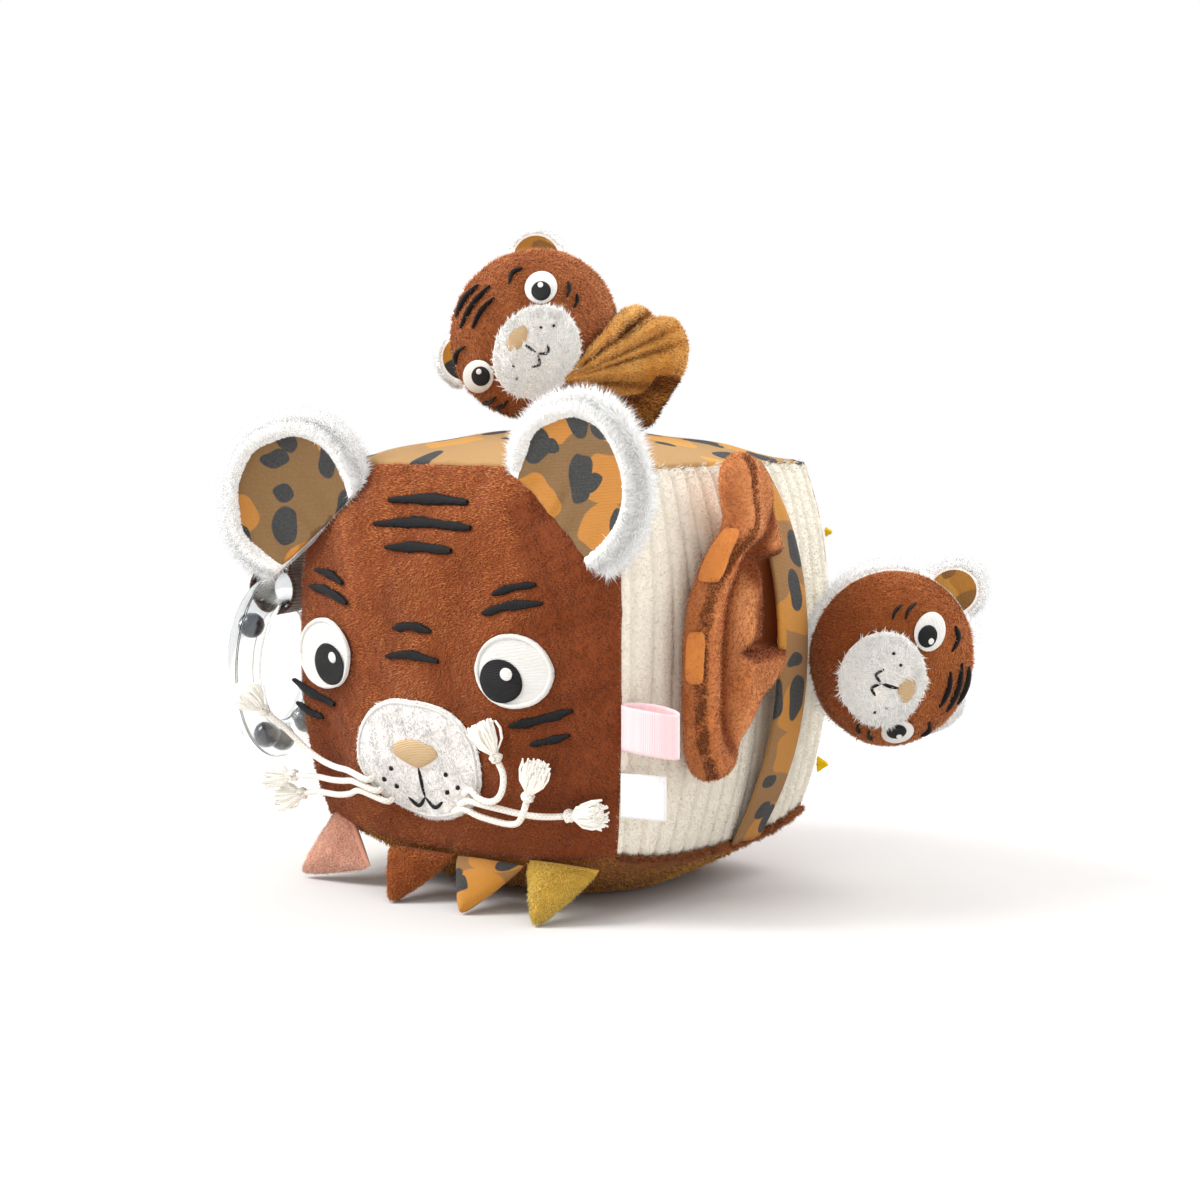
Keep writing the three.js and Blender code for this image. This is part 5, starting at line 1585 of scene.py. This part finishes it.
# Heights with the body's front edge, its rear edge and how far the hem's seam lies in from the front.
BODY_EDGES = {
    "front": [
        (54.6, -41), (55.4, -45), (58, -49), (62, -51.8), (68, -53.8), (78, -55), (92, -55.4),
        (108, -55), (118, -53.4), (126, -51), (134, -46.4), (143, -39), (149, -31.6), (153, -28.4),
        (158, -28), (164, -29.6), (170, -30.6), (176, -29), (180, -25.5), (181.6, -22)],
    "rear": [
        (54.6, -38), (55.8, -34.5), (59, -31), (64, -27.6), (71, -22.5), (79, -15.5), (86, -8),
        (92, 1), (100, 8), (120, 10), (138, 8), (147, 2.5), (155, 0), (163, -2.5), (171, -6),
        (177, -11), (180.4, -16), (181.6, -20)],
    "seam": [
        (54.6, 3), (62, 3.4), (72, 2.4), (100, 2.4), (125, 3), (136, 4.4), (146, 7), (155, 8.6),
        (165, 9), (175, 7.5), (181.6, 3)],
}
BODY_LINES = {}
for line_name, edge_points in BODY_EDGES.items():
    BODY_LINES[line_name] = through(np.array([(z, y, 0.0) for z, y in edge_points]), 240).T[:2]


def body_line(line_name, z):
    return np.interp(z, *BODY_LINES[line_name])


def side_cloth(turn, z):
    """The body's skin: turn runs from 0 at the front edge over the outer side to 180, and back below."""
    turn, z = np.broadcast_arrays(np.asarray(turn, float), np.asarray(z, float))
    z = np.clip(z, BODY_LOW, BODY_HIGH)
    first, last, seam = (body_line(line_name, z) for line_name in ("front", "rear", "seam"))
    wide = last - first
    d = wide * (1 - np.cos(np.radians(turn))) / 2
    y = first + d
    closing = rounding(d / 8) * rounding((wide - d) / 6)
    closing = closing * rounding((z - BODY_LOW) / 7) * rounding((BODY_HIGH - z) / 9)
    lower = 1 - ramp(z, 138, 152)
    hem = 8.6 - (7.8 * lower * ramp(z, 60, 78) + 2.6 * (1 - lower)) * ramp(d, 9, 19)
    cleft = 0.9 * bell(z - 103.5 - 0.12 * (y + 20), 0, 3.0) * ramp(y, -36, -16)
    plump = 7.4 * ramp(d, 20, 33) * lower * ramp(z, 60, 78) + 2.6 * ramp(d, 14, 20) * (1 - lower)
    fold = 1.8 * bell(y + 14 - 0.5 * (z - 140), 0, 4) * ramp(z, 126, 140) * (1 - ramp(z, 158, 170))
    groove = 1.5 * bell(d, seam, 1.5)
    hollow = ramp(y, -15, -9) * ramp(z, 101, 106) * (1 - ramp(z, 137, 143))
    level = (hem + plump * (1 - cleft) - groove - fold) * (1 - hollow) - 4.3 * hollow
    level = level + 0.35 * grain(np.stack([y, z, y * 0], -1), 9, 12)
    return np.stack([BODY_PLANE + np.where(turn > 0, level, -5.4) * closing, y, z], -1)


def body_shade(points):
    """Lighter where the hem and the folds face the light, darker in the valleys and the hollow."""
    y, z = points[:, 1], points[:, 2]
    into = y - body_line("front", z)
    lower = 1 - ramp(z, 136, 150)
    valley = bell(into, 19.5, 4.2) * lower * ramp(z, 58, 74)
    lit = 0.34 * bell(into, 4.5, 3.5) + 0.34 * bell(into, 31, 6.5) * lower
    lit = lit + 0.2 * bell(into, 13, 5) * (1 - lower)
    cleft = bell(z, 103.5 + 0.12 * (y + 20), 4.2) * ramp(y, -36, -16)
    fold = bell(y + 14, 0.5 * (z - 140), 3.5) * ramp(z, 124, 138) * (1 - ramp(z, 156, 168))
    shut_in = ramp(y, -24, -12) * ramp(z, 98, 106) * (1 - ramp(z, 138, 146))
    return 0.85 * valley - lit + 0.75 * cleft + 0.6 * fold + 0.9 * shut_in


def off_hollow(points, normals, spots, slack):
    """Leaves the hollow by the band bare, where the cloth's painted shade shows dark, and leaves the
    underside bare.
    """
    in_hollow = ((points[:, 0] < BODY_PLANE + 0.5) & (points[:, 1] > -16)
                 & (points[:, 2] > 100) & (points[:, 2] < 144))
    return (~in_hollow | (slack > 0)) & (points[:, 0] > BODY_PLANE - 5)


skin_turns = np.linspace(-180, 180, 132, endpoint=False)
skin_rows = BODY_LOW + (BODY_HIGH - BODY_LOW) * (1 - np.cos(np.linspace(0.04, pi - 0.04, 110))) / 2
side_body = swept("side_doll_cloth", np.array([side_cloth(skin_turns, z) for z in skin_rows]))
dress(side_body, LIT_RUST, "block", "rust_plush", "side_doll_body")
lighten(side_body, 0.75, body_shade)
grow("side_doll_pile", side_body, (LIT_RUST, "block", "rust_plush"), 21000, 1.6, 0.42, steady(0.2, -1, -0.3),
     lean=0.6, ruffle=0.18, seed=81, keep=off_hollow, shade=body_shade)

seam_rows = np.linspace(BODY_LOW + 2, BODY_HIGH - 2, 160)
seam_wide = body_line("rear", seam_rows) - body_line("front", seam_rows)
seam_turns = np.degrees(np.arccos(np.clip(1 - 2 * body_line("seam", seam_rows) / seam_wide, -1, 1)))
hem_seam = side_cloth(seam_turns, seam_rows)


def by_seam(points, normals, spots, slack):
    """Keeps only the strands along the hem's seam."""
    return np.linalg.norm(points[:, None] - hem_seam[None], axis=2).min(1) < 2.3 + slack * 0.5


grow("side_doll_hem_fuzz", side_body, (SEAM_FUZZ, "block", "rust_plush"), 6500, 2.3, 0.4, steady(0.5, -1, 0),
     lean=0.3, ruffle=0.5, seed=82, tufts=1.0, keep=by_seam)

for patch_name, height, first_turn, last_turn in (("upper", 142, -3, 29), ("lower", 104, 0, 22)):
    paw = primitive("grid", f"{patch_name}_paw", x_subdivisions=30, y_subdivisions=30, size=2)
    uv = corners(paw)[:, :2]
    square = np.maximum(np.abs(uv[:, 0]), np.abs(uv[:, 1]))
    rounder = np.where(square > 0, square / np.maximum((np.abs(uv) ** 5).sum(1) ** 0.2, 1e-6), 1)
    uv = uv * rounder[:, None]
    turn = (first_turn + last_turn) / 2 + uv[:, 0] * (last_turn - first_turn) / 2
    off = 1.5 - 0.9 * np.clip((square - 0.86) / 0.14, 0, 1)
    move_to(paw, raised(side_cloth, turn, height + uv[:, 1] * 9.6, off))
    lay_uv(paw, uv * 10)
    finish_with(paw, "SOLIDIFY", thickness=1.0 * MM, offset=0)
    outward(paw)
    paw.data.shade_smooth()
    dress(paw, ORANGE, "block", "orange_cloth", f"{patch_name}_paw_patch")
    grow(f"{patch_name}_paw_fuzz", paw, (ORANGE, "block", "orange_cloth"), 2600, 0.8, 0.36,
         steady(0, -0.4, -1), lean=0.6, ruffle=0.25, seed=83)

# The top doll's gathered body: a fan that starts at its gather, before the head's cheek

TOP_NECK = np.array((11.6492, 21.5414, 202.8797))
GATHER = np.array((-24.0, 6.8))
FAN_LOW, FAN_HIGH = -35.0, 50.0
# The fan's reach by angle, and by reach the angle of the fold to its underside.
FAN_REACH = np.array([
    (-36, 33), (-33, 38.5), (-26, 41.5), (-15, 43), (-6, 46), (2, 49.6), (7, 52), (15, 54.5), (23, 55),
    (28.5, 54), (32, 51), (35, 46.6), (38, 46.2), (42, 46), (46, 44.2), (50, 40)]).T
UNDER_FOLD = np.array([(0, -19), (16, -18.5), (26, -14), (33.7, -8), (39, 3.5), (45, 3), (52, 0)]).T
# Lobes and valleys, and the shade in the valleys: height, angle, half width.
FAN_LOBES = ((4.6, 45, 3.6), (-6.5, 38.4, 3.0), (4.2, 31, 4.2), (-1.8, 25, 1.8), (1.2, 21, 2),
             (-2.2, 17.5, 1.8), (2.8, 9, 5), (-1.6, -2, 2.5), (1.5, -12, 4), (-2.0, -24, 3))
FAN_VALLEYS = ((0.95, 38.4, 3.2), (0.5, 25, 1.4), (0.55, 17.5, 1.6), (0.5, -4, 3))


def bells(angle, rows):
    return sum(height * bell(angle, middle, half) for height, middle, half in rows)


def head_reach(points):
    """How far out towards the viewer the turning head reaches from each point."""
    axis = Vector(TOP_NECK - TOP_HEAD.centre).normalized()
    far = np.full(points.shape[:-1], -20.0)
    for degrees in (-20, -10, 0, 10, 20):
        basis = TOP_HEAD.basis @ np.array(Matrix.Rotation(radians(degrees), 3, axis)).T
        at = (points - TOP_HEAD.centre) @ basis.T / (TOP_HEAD.half + 1.6)
        way = VIEWED @ basis.T / (TOP_HEAD.half + 1.6)
        a, b, c = way @ way, at @ way, (at * at).sum(-1) - 1
        hits = b * b - a * c
        far = np.maximum(far, np.where(hits > 0, (-b + np.sqrt(np.maximum(hits, 0))) / a, -20))
    return far


def fan_cloth(turn, share):
    """The fan's skin: turn runs from 0 at its lower edge over the seen side to 180, and back behind."""
    turn, share = np.broadcast_arrays(np.asarray(turn, float), np.asarray(share, float))
    angle = (FAN_LOW + FAN_HIGH) / 2 - (FAN_HIGH - FAN_LOW) / 2 * np.cos(np.radians(turn))
    reach = share * np.interp(angle, *FAN_REACH)
    along = GATHER[0] + reach * np.cos(np.radians(angle))
    up = GATHER[1] + reach * np.sin(np.radians(angle))
    flat = TOP_NECK + along[..., None] * RIGHTWARD + up[..., None] * UPWARD
    side_gap = np.radians(np.minimum(angle - FAN_LOW, FAN_HIGH - angle)) * reach
    closing = rounding((side_gap + 0.2) / 5) * rounding((1 - share) * 50 / 8 + 0.02)
    under = ramp(np.interp(reach, *UNDER_FOLD) - angle, 0, 4)
    level = (bells(angle, FAN_LOBES) - 8 * under) * ramp(share, 0.06, 0.35)
    middle = 12 - 7 * share
    half = 1.6 + 8.2 * ramp(share, 0, 0.5) - 1.5 * ramp(share, 0.7, 1)
    head = head_reach(flat)
    base = np.maximum(middle, head + 1.4)
    over = ramp(base - middle, 0, 9)
    front_half = half * (1 - 0.55 * over) + level * (1 - 0.35 * over)
    back_half = half + (0.7 - half) * ramp(head - (middle - half) + 2, 0, 3)
    forward = base + np.where(turn > 0, np.maximum(front_half, 0.9), -np.maximum(back_half, 0.6)) * closing
    return flat + forward[..., None] * VIEWED


def from_gather(points):
    """How far points lie out along and up from the gather."""
    flat = points - TOP_NECK
    return flat @ RIGHTWARD - GATHER[0], flat[:, 2] - GATHER[1]


def over_fold(points):
    """By how many degrees points lie over the fold to the fan's underside."""
    along, up = from_gather(points)
    return np.degrees(np.arctan2(up, along)) - np.interp(np.hypot(along, up), *UNDER_FOLD)


def fan_comb(points, normals):
    along, up = from_gather(points)
    return along[:, None] * RIGHTWARD + up[:, None] * UPWARD


def fan_shade(points):
    """Darker in the fan's valleys and towards its lower part."""
    along, up = from_gather(points)
    angle, reach = np.degrees(np.arctan2(up, along)), np.hypot(along, up)
    valleys = (0.7 * bells(angle, FAN_VALLEYS) - 0.12) * ramp(reach, 6, 16) * (1 - 0.6 * ramp(reach, 40, 52))
    return valleys + 0.3 * ramp(-angle, -12, 10)


fan_turns = np.linspace(-180, 180, 200, endpoint=False)
fan_shares = np.sin(np.linspace(0.02, 1, 64) * pi / 2)
top_body = swept("top_doll_cloth", np.array([fan_cloth(fan_turns, share) for share in fan_shares]))
dress(top_body, CARAMEL, "block", "caramel_plush", "top_doll_body")
lighten(top_body, 0.85, fan_shade)
fan_pile = dict(comb=fan_comb, lean=0.6, ruffle=0.22, shade=fan_shade)
# The fan's top takes the lit copy of the caramel plush and its underside the shaded copy: painted light and
# painted shade.
grow("top_doll_pile", top_body, (LIT_CARAMEL, "block", "caramel_plush"), 15000, 1.8, 0.42, seed=91,
     keep=lambda p, n, s, slack: over_fold(p) > -slack, **fan_pile)
grow("top_doll_under_pile", top_body, (SHADED_CARAMEL, "block", "caramel_plush"), 5500, 2.0, 0.44, seed=92,
     keep=lambda p, n, s, slack: over_fold(p) < slack, **fan_pile)

# Floor, light and air

# Each lamp's name, place, size and power.
LAMPS = (
    ("key", (-1.5, -1.3, 1.9), 1.3, 68),
    ("fill", (1.9, -1.2, 1.3), 1.8, 4),
    ("back", (1.2, 1.6, 1.9), 1.6, 50),
)
AIR_LIGHT, AIR_SEEN = 0.9, 1.0


def studio():
    """A pale floor, three soft lamps, and white air that gives a little less light than it shows."""
    paint = Finish("studio_floor", Base_Color=(0.72, 0.71, 0.7, 1), Roughness=0.9, Specular_IOR_Level=0.1)
    floor = primitive("plane", "studio_floor", size=1.8)
    floor.data.materials.append(paint.material)
    floor.location.z = -0.0002
    world = bpy.data.worlds.new("studio_air")
    scene.world = world
    world.use_nodes = True
    nodes, links = world.node_tree.nodes, world.node_tree.links
    background = nodes["Background"]
    background.inputs["Color"].default_value = (1, 1, 1, 1)
    seen, strength = nodes.new("ShaderNodeLightPath"), nodes.new("ShaderNodeMapRange")
    strength.inputs["To Min"].default_value = AIR_LIGHT
    strength.inputs["To Max"].default_value = AIR_SEEN
    links.new(seen.outputs["Is Camera Ray"], strength.inputs["Value"])
    links.new(strength.outputs["Result"], background.inputs["Strength"])
    for name, place, size, power in LAMPS:
        light = bpy.data.lights.new(name, "AREA")
        light.size, light.energy = size, power
        lamp = bpy.data.objects.new(name, light)
        lamp.location = place
        lamp.rotation_euler = (Vector((0, 0, 0.1)) - Vector(place)).to_track_quat("-Z", "Y").to_euler()
        scene.collection.objects.link(lamp)


studio()
scene.view_settings.view_transform = "Standard"
